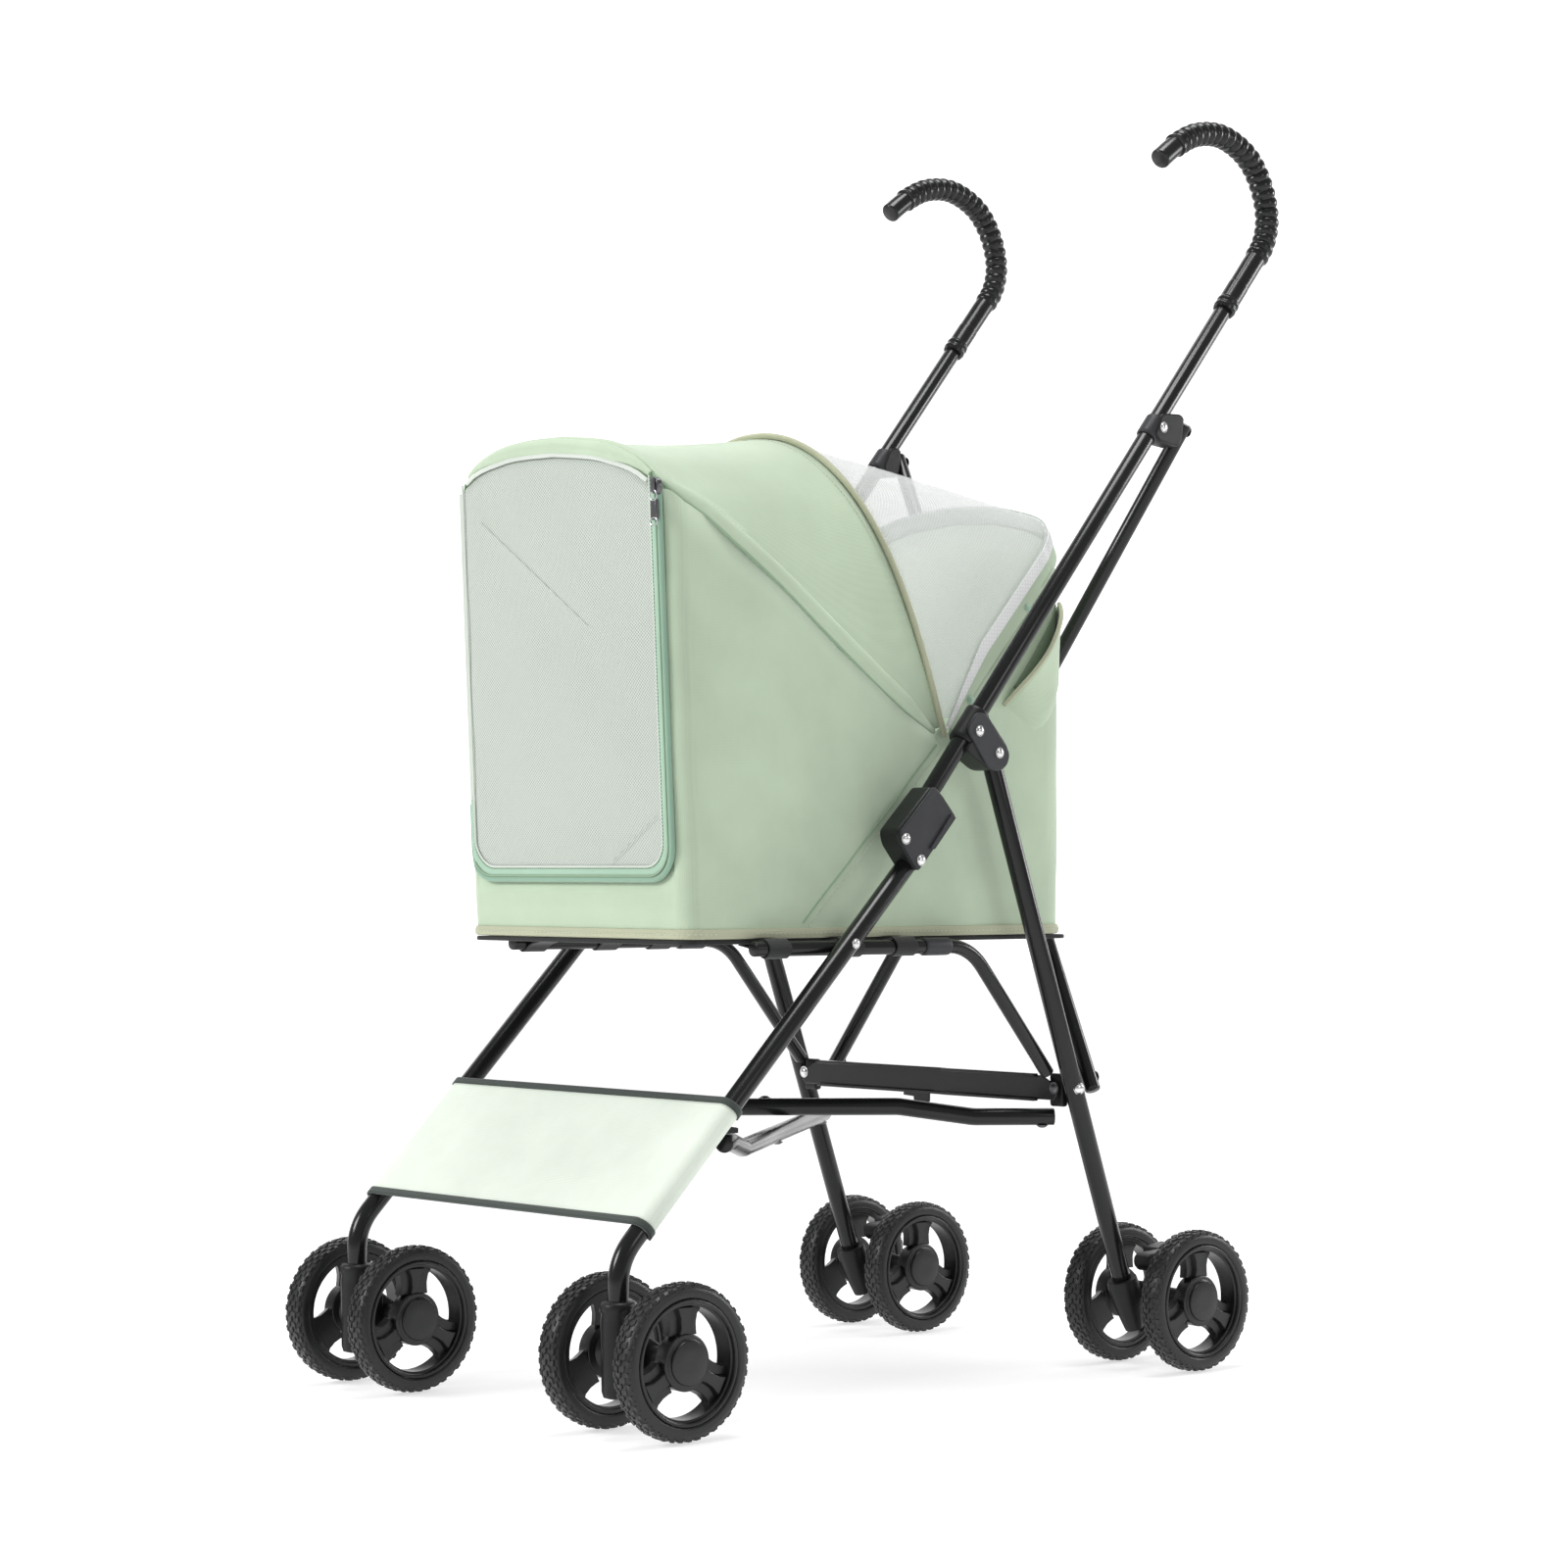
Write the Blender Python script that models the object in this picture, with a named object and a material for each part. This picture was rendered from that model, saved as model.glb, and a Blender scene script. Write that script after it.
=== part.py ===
"""Two-handled folding pet stroller: side frames, double casters, fabric cabin with a zipped door.

Metres, +Z up, the front faces -Y. The right frame is on +X and the left frame mirrors it.
Side-view points are (y, z) with y counted from the front axle; place() centres them.
"""

import math

import bmesh
import bpy
from mathutils import Vector

WHEEL_R = 0.0575            # wheel radius
FRAME_X = 0.1642            # centre plane of each side frame
REAR_AXLE_Y = 0.5473        # wheelbase
HANDLE_BACK_Y = 0.7007      # rearmost point of the grips
CENTRE_Y = (HANDLE_BACK_Y - WHEEL_R) / 2
WHEEL_X = 0.0429            # each wheel's plane from its frame's plane
WHEEL_HALF = 0.0105         # half the width of a wheel
HANDLE_R = 0.0073           # handle tube
LEG_R = 0.0078              # front and rear legs
RAIL_R = 0.0057             # seat rail
X_BAR_R = 0.0064            # rear crossing bars
LOW_BAR_R = 0.0070          # lower crossing bars
TUBE_WALL = 0.0012
GAP = 0.0005                # clearance between touching pieces
SWIVEL_Y = -0.0235          # caster swivel axis
CABIN_X = 0.135             # half width of the cabin
CABIN_FRONT = 0.0665
LEAN = 0.0495                       # the front panel leans forward, per metre of height
FRONT_CORNER = 0.0140
CABIN_BACK = 0.4765
CABIN_FLOOR = 0.3575
PIVOT = (0.331, 0.515)      # canopy pivot on the cabin's side
CORNER = 0.030              # plan radius of the cabin's corners
FABRIC = 0.0016

for old in list(bpy.data.objects):
    bpy.data.objects.remove(old, do_unlink=True)


def place(x, y, z):
    return Vector((x, y - CENTRE_Y, z))


def material(name, rgb, metallic=0.0, roughness=0.5):
    m = bpy.data.materials.new(name)
    m.use_nodes = True
    b = m.node_tree.nodes["Principled BSDF"]
    b.inputs["Base Color"].default_value = (*rgb, 1)
    b.inputs["Metallic"].default_value = metallic
    b.inputs["Roughness"].default_value = roughness
    return m


MATS = {
    "frame_black": material("frame_black", (0.02, 0.02, 0.022), 0.0, 0.35),
    "bracket_black": material("bracket_black", (0.03, 0.03, 0.032)),
    "grip_rubber": material("grip_rubber", (0.015, 0.015, 0.016)),
    "wheel_black": material("wheel_black", (0.02, 0.02, 0.022)),
    "tyre_rubber": material("tyre_rubber", (0.025, 0.025, 0.027), 0.0, 0.8),
    "axle_steel": material("axle_steel", (0.6, 0.6, 0.6), 1.0, 0.3),
    "green_fabric": material("green_fabric", (0.55, 0.70, 0.54), 0.0, 0.9),
    "white_mesh": material("white_mesh", (0.85, 0.88, 0.86), 0.0, 0.9),
    "trim_beige": material("trim_beige", (0.62, 0.62, 0.48), 0.0, 0.9),
    "base_fabric": material("base_fabric", (0.03, 0.03, 0.03), 0.0, 0.9),
    "mat_fabric": material("mat_fabric", (0.45, 0.58, 0.46), 0.0, 0.9),
    "zip_metal": material("zip_metal", (0.2, 0.2, 0.2), 1.0, 0.3),
}


def finish(name, bm, mat, origin=None, smooth=35):
    bmesh.ops.recalc_face_normals(bm, faces=bm.faces)
    me = bpy.data.meshes.new(name)
    bm.to_mesh(me)
    bm.free()
    ob = bpy.data.objects.new(name, me)
    bpy.context.scene.collection.objects.link(ob)
    me.materials.append(MATS[mat])
    settle(ob, origin, smooth)
    return ob


def settle(ob, origin, smooth):
    if origin is not None:
        ob.data.transform(ob.matrix_world)
        for v in ob.data.vertices:
            v.co -= origin
        ob.location = origin
    for p in ob.data.polygons:
        p.use_smooth = smooth > 0
    if smooth:
        ob.data.set_sharp_from_angle(angle=math.radians(smooth))


def boolean(ob, others, operation="DIFFERENCE"):
    for other in others:
        m = ob.modifiers.new("cut", "BOOLEAN")
        m.object = other
        m.operation = operation
        m.solver = "EXACT"
    made = bpy.data.meshes.new_from_object(
        ob.evaluated_get(bpy.context.evaluated_depsgraph_get())
    )
    ob.modifiers.clear()
    made.materials.clear()
    made.materials.append(ob.data.materials[0])
    for p in made.polygons:
        p.material_index = 0
    ob.data = made
    for other in others:
        bpy.data.objects.remove(other, do_unlink=True)
    settle(ob, None, 35)
    return ob


def side(s, pts):
    """Side-view (y, z) points on the frame plane of side s."""
    return [place(s * FRAME_X, y, z) for y, z in pts]


def rounded(pts, radius, steps=4):
    """A polyline with its inner corners rounded."""
    out = [pts[0]]
    for a, b, c in zip(pts, pts[1:], pts[2:]):
        u, w = (a - b).normalized(), (c - b).normalized()
        turn = math.pi - u.angle(w)
        if turn < 0.01:
            out.append(b)
            continue
        cut = min(radius * math.tan(turn / 2), (a - b).length * 0.49, (c - b).length * 0.49)
        p, q = b + u * cut, b + w * cut
        for i in range(steps + 1):
            t = i / steps
            out.append(p * (1 - t) ** 2 + b * 2 * t * (1 - t) + q * t * t)
    out.append(pts[-1])
    return out


def rings(bm, pts, radii, seg, ref):
    """Circles of vertices along a path, kept from twisting."""
    made, n1 = [], Vector(ref).normalized()
    for i, p in enumerate(pts):
        t = pts[min(i + 1, len(pts) - 1)] - pts[max(i - 1, 0)]
        t.normalize()
        n1 = (n1 - t * n1.dot(t)).normalized()
        n2 = t.cross(n1)
        ring = []
        for k in range(seg):
            a = 2 * math.pi * k / seg
            ring.append(bm.verts.new(p + (n1 * math.cos(a) + n2 * math.sin(a)) * radii[i]))
        made.append(ring)
    return made


def skin(bm, a, b):
    n = len(a)
    for k in range(n):
        bm.faces.new((a[k], a[(k + 1) % n], b[(k + 1) % n], b[k]))


def tube_bm(pts, radii, bore=0.0, seg=12, ref=(1, 0, 0), blind=0):
    """A swept round bar; bore > 0 makes it hollow, and blind counts points left solid at its end."""
    bm = bmesh.new()
    if not isinstance(radii, list):
        radii = [radii] * len(pts)
    outer = rings(bm, pts, radii, seg, ref)
    for a, b in zip(outer, outer[1:]):
        skin(bm, a, b)
    if bore <= 0:
        bm.faces.new(outer[0])
        bm.faces.new(outer[-1])
        return bm
    keep = pts[: len(pts) - blind] if blind else pts
    inner = rings(bm, keep, [bore] * len(keep), seg, ref)
    for a, b in zip(inner, inner[1:]):
        skin(bm, a, b)
    skin(bm, outer[0], inner[0])
    if blind:
        bm.faces.new(outer[-1])
        bm.faces.new(inner[-1])
    else:
        skin(bm, outer[-1], inner[-1])
    return bm


def tube(name, pts, radii, mat, bore=0.0, seg=12, ref=(1, 0, 0), blind=0, origin=None):
    return finish(name, tube_bm(pts, radii, bore, seg, ref, blind), mat, origin)


def rod(p, q, r, seg=16, ref=(0.3, 0.5, 0.8)):
    return tube("cutter", [p, q], r, "bracket_black", 0.0, seg, ref)


def prism(name, outline, x0, x1, mat, origin=None):
    """A side-view outline given as (y, z), made solid between two x planes."""
    bm = bmesh.new()
    a = [bm.verts.new(place(x0, y, z)) for y, z in outline]
    b = [bm.verts.new(place(x1, y, z)) for y, z in outline]
    skin(bm, a, b)
    bm.faces.new(a)
    bm.faces.new(b)
    return finish(name, bm, mat, origin)


def box(name, lo, hi, mat, origin=None):
    y0, y1, z0, z1 = lo[1], hi[1], lo[2], hi[2]
    return prism(name, [(y0, z0), (y1, z0), (y1, z1), (y0, z1)], lo[0], hi[0], mat, origin)


def line(p, angle, dist):
    return (p[0] + dist * math.cos(math.radians(angle)), p[1] + dist * math.sin(math.radians(angle)))


# ---- side-view geometry of a frame
HANDLE_LINE, HANDLE_ANGLE = (0.5335, 0.7630), 50.08
LEG_LINE, LEG_ANGLE = (0.1693, 0.3199), 44.9
REAR_LINE, REAR_ANGLE = (0.4345, 0.2752), 109.6
HOOK = [(0.6683, 0.9240), (0.6850, 0.9450), (0.6905, 0.9690), (0.6830, 0.9960),
        (0.6640, 1.0190), (0.6332, 1.0313), (0.6020, 1.0290), (0.5760, 1.0170), (0.5546, 1.0017)]
GRIP_START = line(HANDLE_LINE, HANDLE_ANGLE, 0.1563)
GRIP_R, RIB_R, RIBS = 0.0088, 0.01025, 23
LOCK = [(0.2436, 0.4393), (0.2464, 0.4292), (0.2646, 0.4077), (0.2720, 0.4150), (0.3052, 0.4511),
        (0.2910, 0.4675), (0.2804, 0.4750)]
LOCK_HALF = 0.0125
BAR_TOP = (0.5740, 0.7773)          # rear crossing bar, upper pin
BAR_FOOT = (0.4775, 0.2337)         # its lower end, behind the other rear leg
BAR_LAYER = 0.0070                  # the two bars pass in front of and behind each other
LOW_FRONT = (0.155, 0.083)          # lower bar's front pin (x, y)
LOW_REAR = (0.1400, 0.452)          # its rear end (x, y)
LOW_Z = (0.2170, 0.1965)            # heights of the left-hinged and right-hinged bars
LOW_REAR_Z = 0.2083
BRACE_PIN = (0.153, 0.2325)         # (x, z) of the cross brace's hinges
BRACE_HALF_H = 0.0098
BRACE_Y = {1: (0.4385, 0.4405), -1: (0.4410, 0.4430)}
BRACE_REACH = {1: 0.012, -1: -0.035}


def arc_points(pts, count):
    """count points evenly spaced along a polyline."""
    total = [0.0]
    for a, b in zip(pts, pts[1:]):
        total.append(total[-1] + (b - a).length)
    out = []
    for i in range(count):
        d = total[-1] * i / (count - 1)
        k = max(j for j in range(len(pts) - 1) if total[j] <= d + 1e-12)
        t = (d - total[k]) / (total[k + 1] - total[k])
        out.append(pts[k].lerp(pts[k + 1], min(t, 1.0)))
    return out


def side_frame(s, tag):
    def seg(points):
        return side(s, points)

    x = s * FRAME_X
    low_handle = line(HANDLE_LINE, HANDLE_ANGLE, -0.405)
    hook = seg(HOOK)
    shaft = seg([low_handle, GRIP_START])
    tip = hook[-1] + (hook[-1] - hook[-2]).normalized() * -0.004
    tube("handle_tube_" + tag, shaft + hook[:-1] + [tip], HANDLE_R, "frame_black",
         bore=HANDLE_R - TUBE_WALL)

    grip_path = arc_points(seg([GRIP_START]) + hook, 60)
    radii = []
    for i in range(60):
        ribbed = 13 <= i < 13 + 2 * 20
        radii.append(RIB_R if ribbed and i % 2 else GRIP_R)
    radii[0] = radii[1] = GRIP_R + 0.0006
    keep = seg([GRIP_START]) + hook[:-1]
    bm = bmesh.new()
    outer = rings(bm, grip_path, radii, 12, (1, 0, 0))
    for a, b in zip(outer, outer[1:]):
        skin(bm, a, b)
    inner = rings(bm, keep + [hook[-1] + (hook[-1] - hook[-2]).normalized() * -0.003],
                  [HANDLE_R + GAP] * (len(keep) + 1), 12, (1, 0, 0))
    for a, b in zip(inner, inner[1:]):
        skin(bm, a, b)
    skin(bm, outer[0], inner[0])
    bm.faces.new(outer[-1])
    bm.faces.new(inner[-1])
    finish("handle_grip_" + tag, bm, "grip_rubber")

    def bores(reach=0.0006):
        a = seg([line(HANDLE_LINE, HANDLE_ANGLE, -0.6), line(HANDLE_LINE, HANDLE_ANGLE, 0.1)])
        b = seg([line(LEG_LINE, LEG_ANGLE, -0.1), line(LEG_LINE, LEG_ANGLE, 0.3)])
        return rod(a[0], a[1], HANDLE_R + reach), rod(b[0], b[1], LEG_R + reach)

    # lock block: the handle's foot and the front leg's head lie side by side in it
    lock = prism("lock_block_" + tag, LOCK, x - LOCK_HALF, x + LOCK_HALF, "bracket_black")
    boolean(lock, bores())
    for y, z in ((0.2494, 0.4333), (0.2663, 0.4172)):
        head = rod(place(x + s * (LOCK_HALF - 0.001), y, z), place(x + s * (LOCK_HALF + 0.0018), y, z), 0.0038, 10)
        boolean(lock, [head], "UNION")

    # mid bracket: a saddle on the handle whose two cheeks hold the rear leg's head
    saddle = [(0.2990, 0.5150), (0.3165, 0.5040), (0.3440, 0.4880), (0.3560, 0.4880),
              (0.3640, 0.4960), (0.3650, 0.5060), (0.3440, 0.5290), (0.3210, 0.5370)]
    mid = prism("mid_bracket_" + tag, saddle, x - 0.0115, x + 0.0115, "bracket_black")
    hand = bores()
    bpy.data.objects.remove(hand[1], do_unlink=True)
    top = line(REAR_LINE, REAR_ANGLE, 0.2600)
    slot = seg([line(REAR_LINE, REAR_ANGLE, 0.10), top])
    boolean(mid, [hand[0], rod(slot[0], slot[1], LEG_R + 0.0007)])
    for y, z in ((0.3325, 0.5187), (0.3537, 0.5019)):
        head = rod(place(x + s * 0.0105, y, z), place(x + s * 0.0133, y, z), 0.0038, 10)
        boolean(mid, [head], "UNION")

    # upper bracket: carries the pin of the rear crossing bar
    back = BAR_TOP[0] + s * BAR_LAYER - X_BAR_R - 0.0012
    shape = [(0.5330, 0.7640), (0.5400, 0.7580), (back - 0.0075, 0.7600), (back - 0.0034, 0.7660),
             (back, 0.7890), (back - 0.0040, 0.7920), (0.5500, 0.7930), (0.5420, 0.7860)]
    up = prism("upper_bracket_" + tag, shape, x - 0.0105, x + 0.0105, "bracket_black")
    hand = bores()
    bpy.data.objects.remove(hand[1], do_unlink=True)
    boolean(up, [hand[0]])

    # front leg: straight, then bent down into the caster, with a lug for the lower bar's pin
    head_y, head_z = line(LEG_LINE, LEG_ANGLE, 0.1760)
    path = rounded(seg([(head_y, head_z), (SWIVEL_Y, 0.1278), (SWIVEL_Y, 0.0600)]), 0.045, 5)
    leg = tube("front_leg_" + tag, path, LEG_R, "frame_black", bore=LEG_R - TUBE_WALL)
    lug_x = sorted((x - s * 0.0175, x - s * 0.0040))
    lug_z = (LOW_Z[0] if s < 0 else LOW_Z[1] + 0.0090) + LOW_BAR_R + 0.0012
    lug_y = LEG_LINE[0] + lug_z - LEG_LINE[1] + 0.005
    lug = [(lug_y, lug_z), (0.0930, lug_z), (0.0930, lug_z + 0.004), (lug_y + 0.003, lug_z + 0.006)]
    boolean(leg, [prism("lug", lug, lug_x[0], lug_x[1], "frame_black")], "UNION")

    # caster: a cup that turns on the leg's foot, and an arm back to the axle
    swivel = place(x, SWIVEL_Y, 0.0)
    cup = tube("caster_housing_" + tag,
               [swivel + Vector((0, 0, z)) for z in (0.0290, 0.0330, 0.0550, 0.0860, 0.0990)],
               [0.0100, 0.0125, 0.0125, 0.0130, 0.0118], "bracket_black", seg=16)
    arm = [(-0.0235, 0.0310), (-0.0040, 0.0440), (0.0120, 0.0500), (0.0120, 0.0650),
           (0.0000, 0.0710), (-0.0120, 0.0800), (-0.0235, 0.0840)]
    boolean(cup, [prism("arm", arm, x - 0.0090, x + 0.0090, "bracket_black")], "UNION")
    axle = place(x, 0.0, WHEEL_R)
    boolean(cup, [rod(swivel + Vector((0, 0, 0.0585)), swivel + Vector((0, 0, 0.12)), LEG_R + 0.0006),
                  rod(axle - Vector((0.02, 0, 0)), axle + Vector((0.02, 0, 0)), 0.0034, 12)])
    settle(cup, swivel + Vector((0, 0, 0.08)), 35)

    def axle_bar(name, y, r=0.0030):
        c = place(x, y, WHEEL_R)
        reach = Vector((WHEEL_X + WHEEL_HALF - 0.0045, 0, 0))
        tube(name, [c - reach, c + reach], r, "axle_steel", seg=12, ref=(0, 0, 1), origin=c)

    axle_bar("front_axle_" + tag, 0.0)
    axle_bar("rear_axle_" + tag, REAR_AXLE_Y)

    # rear leg and the housing on its foot
    foot = line(REAR_LINE, REAR_ANGLE, -0.2300)
    head = line(REAR_LINE, REAR_ANGLE, 0.2450)
    tube("rear_leg_" + tag, seg([foot, head]), LEG_R, "frame_black", bore=LEG_R - TUBE_WALL)
    shape = [(0.4960, 0.0860), (0.5010, 0.0640), (0.5080, 0.0360), (0.5180, 0.0300), (0.5300, 0.0350),
             (0.5560, 0.0480), (0.5590, 0.0600), (0.5520, 0.0690), (0.5250, 0.0780), (0.5180, 0.0930)]
    house = prism("rear_housing_" + tag, shape, x - 0.0115, x + 0.0115, "bracket_black")
    leg_axis = seg([line(REAR_LINE, REAR_ANGLE, -0.2310), line(REAR_LINE, REAR_ANGLE, 0.0)])
    hub = place(x, REAR_AXLE_Y, WHEEL_R)
    boolean(house, [rod(leg_axis[0], leg_axis[1], LEG_R + 0.0006),
                    rod(hub - Vector((0.02, 0, 0)), hub + Vector((0.02, 0, 0)), 0.0034, 12)])

    # brake lever: a pedal that tips down on a pin above the housing
    pin = place(x, 0.5330, 0.0880)
    lever = [(0.5280, 0.0840), (0.5340, 0.0785), (0.5450, 0.0800), (0.5720, 0.0905),
             (0.5790, 0.0960), (0.5770, 0.1000), (0.5560, 0.0945), (0.5330, 0.0935), (0.5285, 0.0905)]
    pedal = prism("brake_lever_" + tag, lever, x - 0.0080, x + 0.0080, "bracket_black")
    pad = prism("pad", [(0.5600, 0.0890), (0.5740, 0.0930), (0.5800, 0.0985), (0.5580, 0.0955)],
                x - 0.0240, x + 0.0240, "bracket_black")
    boolean(pedal, [pad], "UNION")
    settle(pedal, pin, 35)

    # joint block in front of the rear leg
    near, far = sorted((s * 0.1420, s * 0.1558))
    box("joint_block_" + tag, (near, 0.4445, 0.2170), (far, 0.4505, 0.2440), "bracket_black")

    # seat rail, its coupler and the bent strut down to the joint block
    rail = [place(s * 0.1495, y, z) for y, z in
            [(0.1180, 0.3497), (0.3457, 0.3490), (0.4320, 0.2474)]]
    path = [rail[0]] + rounded(rail, 0.050, 5)[1:]
    cut = [i for i, p in enumerate(path) if i]
    joined = [path[0], place(s * 0.1495, 0.2900, 0.3493), place(s * 0.1495, 0.2902, 0.3493),
              place(s * 0.1495, 0.3140, 0.3492), place(s * 0.1495, 0.3142, 0.3492)]
    joined += [path[i] for i in cut if path[i].y > joined[-1].y + 0.001]
    fat = [RAIL_R, RAIL_R, RAIL_R + 0.0012, RAIL_R + 0.0012] + [RAIL_R] * (len(joined) - 4)
    tube("seat_rail_" + tag, joined, fat, "frame_black", bore=RAIL_R - TUBE_WALL, seg=10)

    # rear crossing bar, from this handle down behind the other rear leg
    layer = s * BAR_LAYER
    a = place(x, BAR_TOP[0] + layer, BAR_TOP[1])
    b = place(-x, BAR_FOOT[0] + layer, BAR_FOOT[1])
    u = (b - a).normalized()
    tube("rear_x_bar_" + tag, [a - u * 0.006, b + u * 0.004], X_BAR_R, "frame_black",
         bore=X_BAR_R - TUBE_WALL, origin=a)

    # lower crossing bar, from this front leg back to the other joint block
    z = LOW_Z[0] if s < 0 else LOW_Z[1]
    front = place(s * LOW_FRONT[0], LOW_FRONT[1], z + (0 if s < 0 else 0.0090))
    rear = place(-s * LOW_REAR[0], LOW_REAR[1], LOW_REAR_Z if s < 0 else z)
    flat = Vector((rear.x - front.x, rear.y - front.y, 0)).normalized()
    if s < 0:
        mid_a, mid_b = front + flat * 0.345, rear - flat * 0.066
    else:
        mid_a, mid_b = front + flat * 0.030, rear - flat * 0.390
    pts = [front + flat * 0.0075, mid_a, mid_b, rear]
    tube("lower_x_bar_" + tag, rounded(pts, 0.05, 3), LOW_BAR_R, "frame_black",
         bore=LOW_BAR_R - TUBE_WALL, ref=(0, 0, 1), origin=place(s * LOW_FRONT[0], LOW_FRONT[1], z))

    # half of the cross brace
    y0, y1 = BRACE_Y[s]
    px, pz = BRACE_PIN
    bm = bmesh.new()
    xs = [s * (px + 0.0025), s * BRACE_REACH[s] if s > 0 else -BRACE_REACH[s]]
    if s < 0:
        xs = [-(px + 0.0025), 0.035]
    outline = [(xs[0], pz - 0.006), (xs[0] - s * 0.004, pz - BRACE_HALF_H), (xs[1], pz - BRACE_HALF_H),
               (xs[1], pz + BRACE_HALF_H), (s * (px - 0.0140), pz + BRACE_HALF_H), (s * (px - 0.0015), pz + 0.0035),
               (xs[0], pz + 0.0010)]
    if s < 0:
        outline[2:3] = [(-0.0300, pz - BRACE_HALF_H), (-0.0300, 0.2120), (-0.0060, 0.2120),
                        (-0.0060, pz - BRACE_HALF_H), (xs[1], pz - BRACE_HALF_H)]
    f = [bm.verts.new(place(px_, y0, z_)) for px_, z_ in outline]
    g = [bm.verts.new(place(px_, y1, z_)) for px_, z_ in outline]
    skin(bm, f, g)
    bm.faces.new(f)
    bm.faces.new(g)
    finish("brace_half_" + tag, bm, "frame_black", place(s * px, (y0 + y1) / 2, pz))


def wheel(tag, cx, cy, outward):
    """Tyre and spoked rim. The hub cap faces outward, +1 or -1 along X."""
    c = place(cx, cy, WHEEL_R)
    seg, h = 32, WHEEL_HALF
    bm = bmesh.new()
    inner = 0.0463
    profile = [(-h + 0.001, inner), (-h, 0.0500), (-h + 0.0015, 0.0550), (-h + 0.0050, WHEEL_R),
               (h - 0.0050, WHEEL_R), (h - 0.0015, 0.0550), (h, 0.0500), (h - 0.001, inner)]
    loops = [[bm.verts.new(c + Vector((px, r * math.cos(2 * math.pi * k / seg),
                                       r * math.sin(2 * math.pi * k / seg))))
              for k in range(seg)] for px, r in profile]
    for a, b in zip(loops, loops[1:] + loops[:1]):
        skin(bm, a, b)
    finish("tyre_" + tag, bm, "tyre_rubber", c)

    o = outward
    disc = tube("rim_" + tag, [c + Vector((px, 0, 0)) for px in (-h + 0.0015, h - 0.0015)], 0.0457,
                "wheel_black", seg=32, ref=(0, 1, 0))
    cutters = []
    for k in range(3):
        mid = math.radians(30 + 120 * k)
        bm = bmesh.new()
        outline = []
        for r, half in ((0.0395, 50), (0.0395, 25), (0.0395, 0), (0.0395, -25), (0.0395, -50)):
            outline.append((r, mid + math.radians(half)))
        for r, half in ((0.0225, -38), (0.0200, 0), (0.0225, 38)):
            outline.append((r, mid + math.radians(half)))
        a = [bm.verts.new(c + Vector((-0.02, r * math.cos(t), r * math.sin(t)))) for r, t in outline]
        b = [bm.verts.new(c + Vector((0.02, r * math.cos(t), r * math.sin(t)))) for r, t in outline]
        skin(bm, a, b)
        bm.faces.new(a)
        bm.faces.new(b)
        cutters.append(finish("cutter", bm, "wheel_black"))
    cutters.append(rod(c - Vector((o * 0.03, 0, 0)), c + Vector((o * (h - 0.0040), 0, 0)), 0.0033, 12, (0, 0, 1)))
    boolean(disc, cutters)
    settle(disc, c, 35)


for s, tag in ((1, "right"), (-1, "left")):
    side_frame(s, tag)
    for end, y in (("front", 0.0), ("rear", REAR_AXLE_Y)):
        for where, d in (("outer", s), ("inner", -s)):
            wheel(f"{end}_{tag}_{where}", s * FRAME_X + d * WHEEL_X, y, d)


# ---- cabin
def plan():
    """Half of the cabin's outline from the front centre to the back centre, as (x, y)."""
    pts = [(0.0, CABIN_FRONT), (0.060, CABIN_FRONT), (0.1150, CABIN_FRONT)]
    f, b, r = CABIN_FRONT + FRONT_CORNER, CABIN_BACK - CORNER, CORNER
    for a in (0, 35, 62, 90):
        t = math.radians(a)
        pts.append((CABIN_X - FRONT_CORNER * (1 - math.sin(t)), f - FRONT_CORNER * math.cos(t)))
    pts += [(CABIN_X, y) for y in (0.150, 0.210, 0.270, PIVOT[0], 0.370, 0.410)]
    for a in (90, 60, 30, 0):
        t = math.radians(a)
        pts.append((CABIN_X - r + r * math.sin(t), b + r * math.cos(t)))
    pts += [(0.050, CABIN_BACK), (0.0, CABIN_BACK)]
    return pts


FRONT_BOW = [(0.135, 0.331, 0.515), (0.135, 0.200, 0.6045), (0.135, 0.080, 0.6862),
             (0.1325, 0.0605, 0.6950), (0.1225, 0.0500, 0.7045), (0.0930, 0.0485, 0.7230),
             (0.0560, 0.0480, 0.7345), (0.0, 0.0475, 0.7400)]
REAR_RIM = [(0.135, 0.331, 0.515), (0.135, 0.3725, 0.565), (0.1345, 0.4338, 0.6330), (0.1290, 0.4620, 0.6640),
            (0.1150, 0.4730, 0.6850), (0.0900, 0.4760, 0.7010), (0.0500, 0.4765, 0.7160), (0.0, 0.4765, 0.7214)]
BOW_ANGLE, BOW_REACH = 108.7, 0.2560


def bow_curve(reach=BOW_REACH, half=CABIN_X, count=14):
    """The rear bow's right half: a flattened arch in a plane through the pivots."""
    out = []
    for i in range(count):
        t = math.pi / 2 * i / (count - 1)
        px = half * math.cos(t) ** (2 / 2.2) if i < count - 1 else 0.0
        r = reach * math.sin(t) ** (2 / 3)
        y, z = line(PIVOT, BOW_ANGLE, r)
        out.append(Vector((px, y, z)))
    return out


def whole(half, count):
    """A right half-curve resampled and mirrored into one curve from right to left."""
    right = arc_points([Vector(p) for p in half], count)
    return right + [Vector((-p.x, p.y, p.z)) for p in reversed(right[:-1])]


def shell(name, rows, mat, thickness=FABRIC, origin=None, outward=1):
    """A thin solid over a grid of points; each row runs from right to left."""
    bm = bmesh.new()
    grid = [[bm.verts.new(place(*p)) for p in row] for row in rows]
    for a, b in zip(grid, grid[1:]):
        for k in range(len(a) - 1):
            bm.faces.new((a[k], a[k + 1], b[k + 1], b[k]))
    return thicken(name, bm, mat, thickness, origin, outward)


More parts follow.
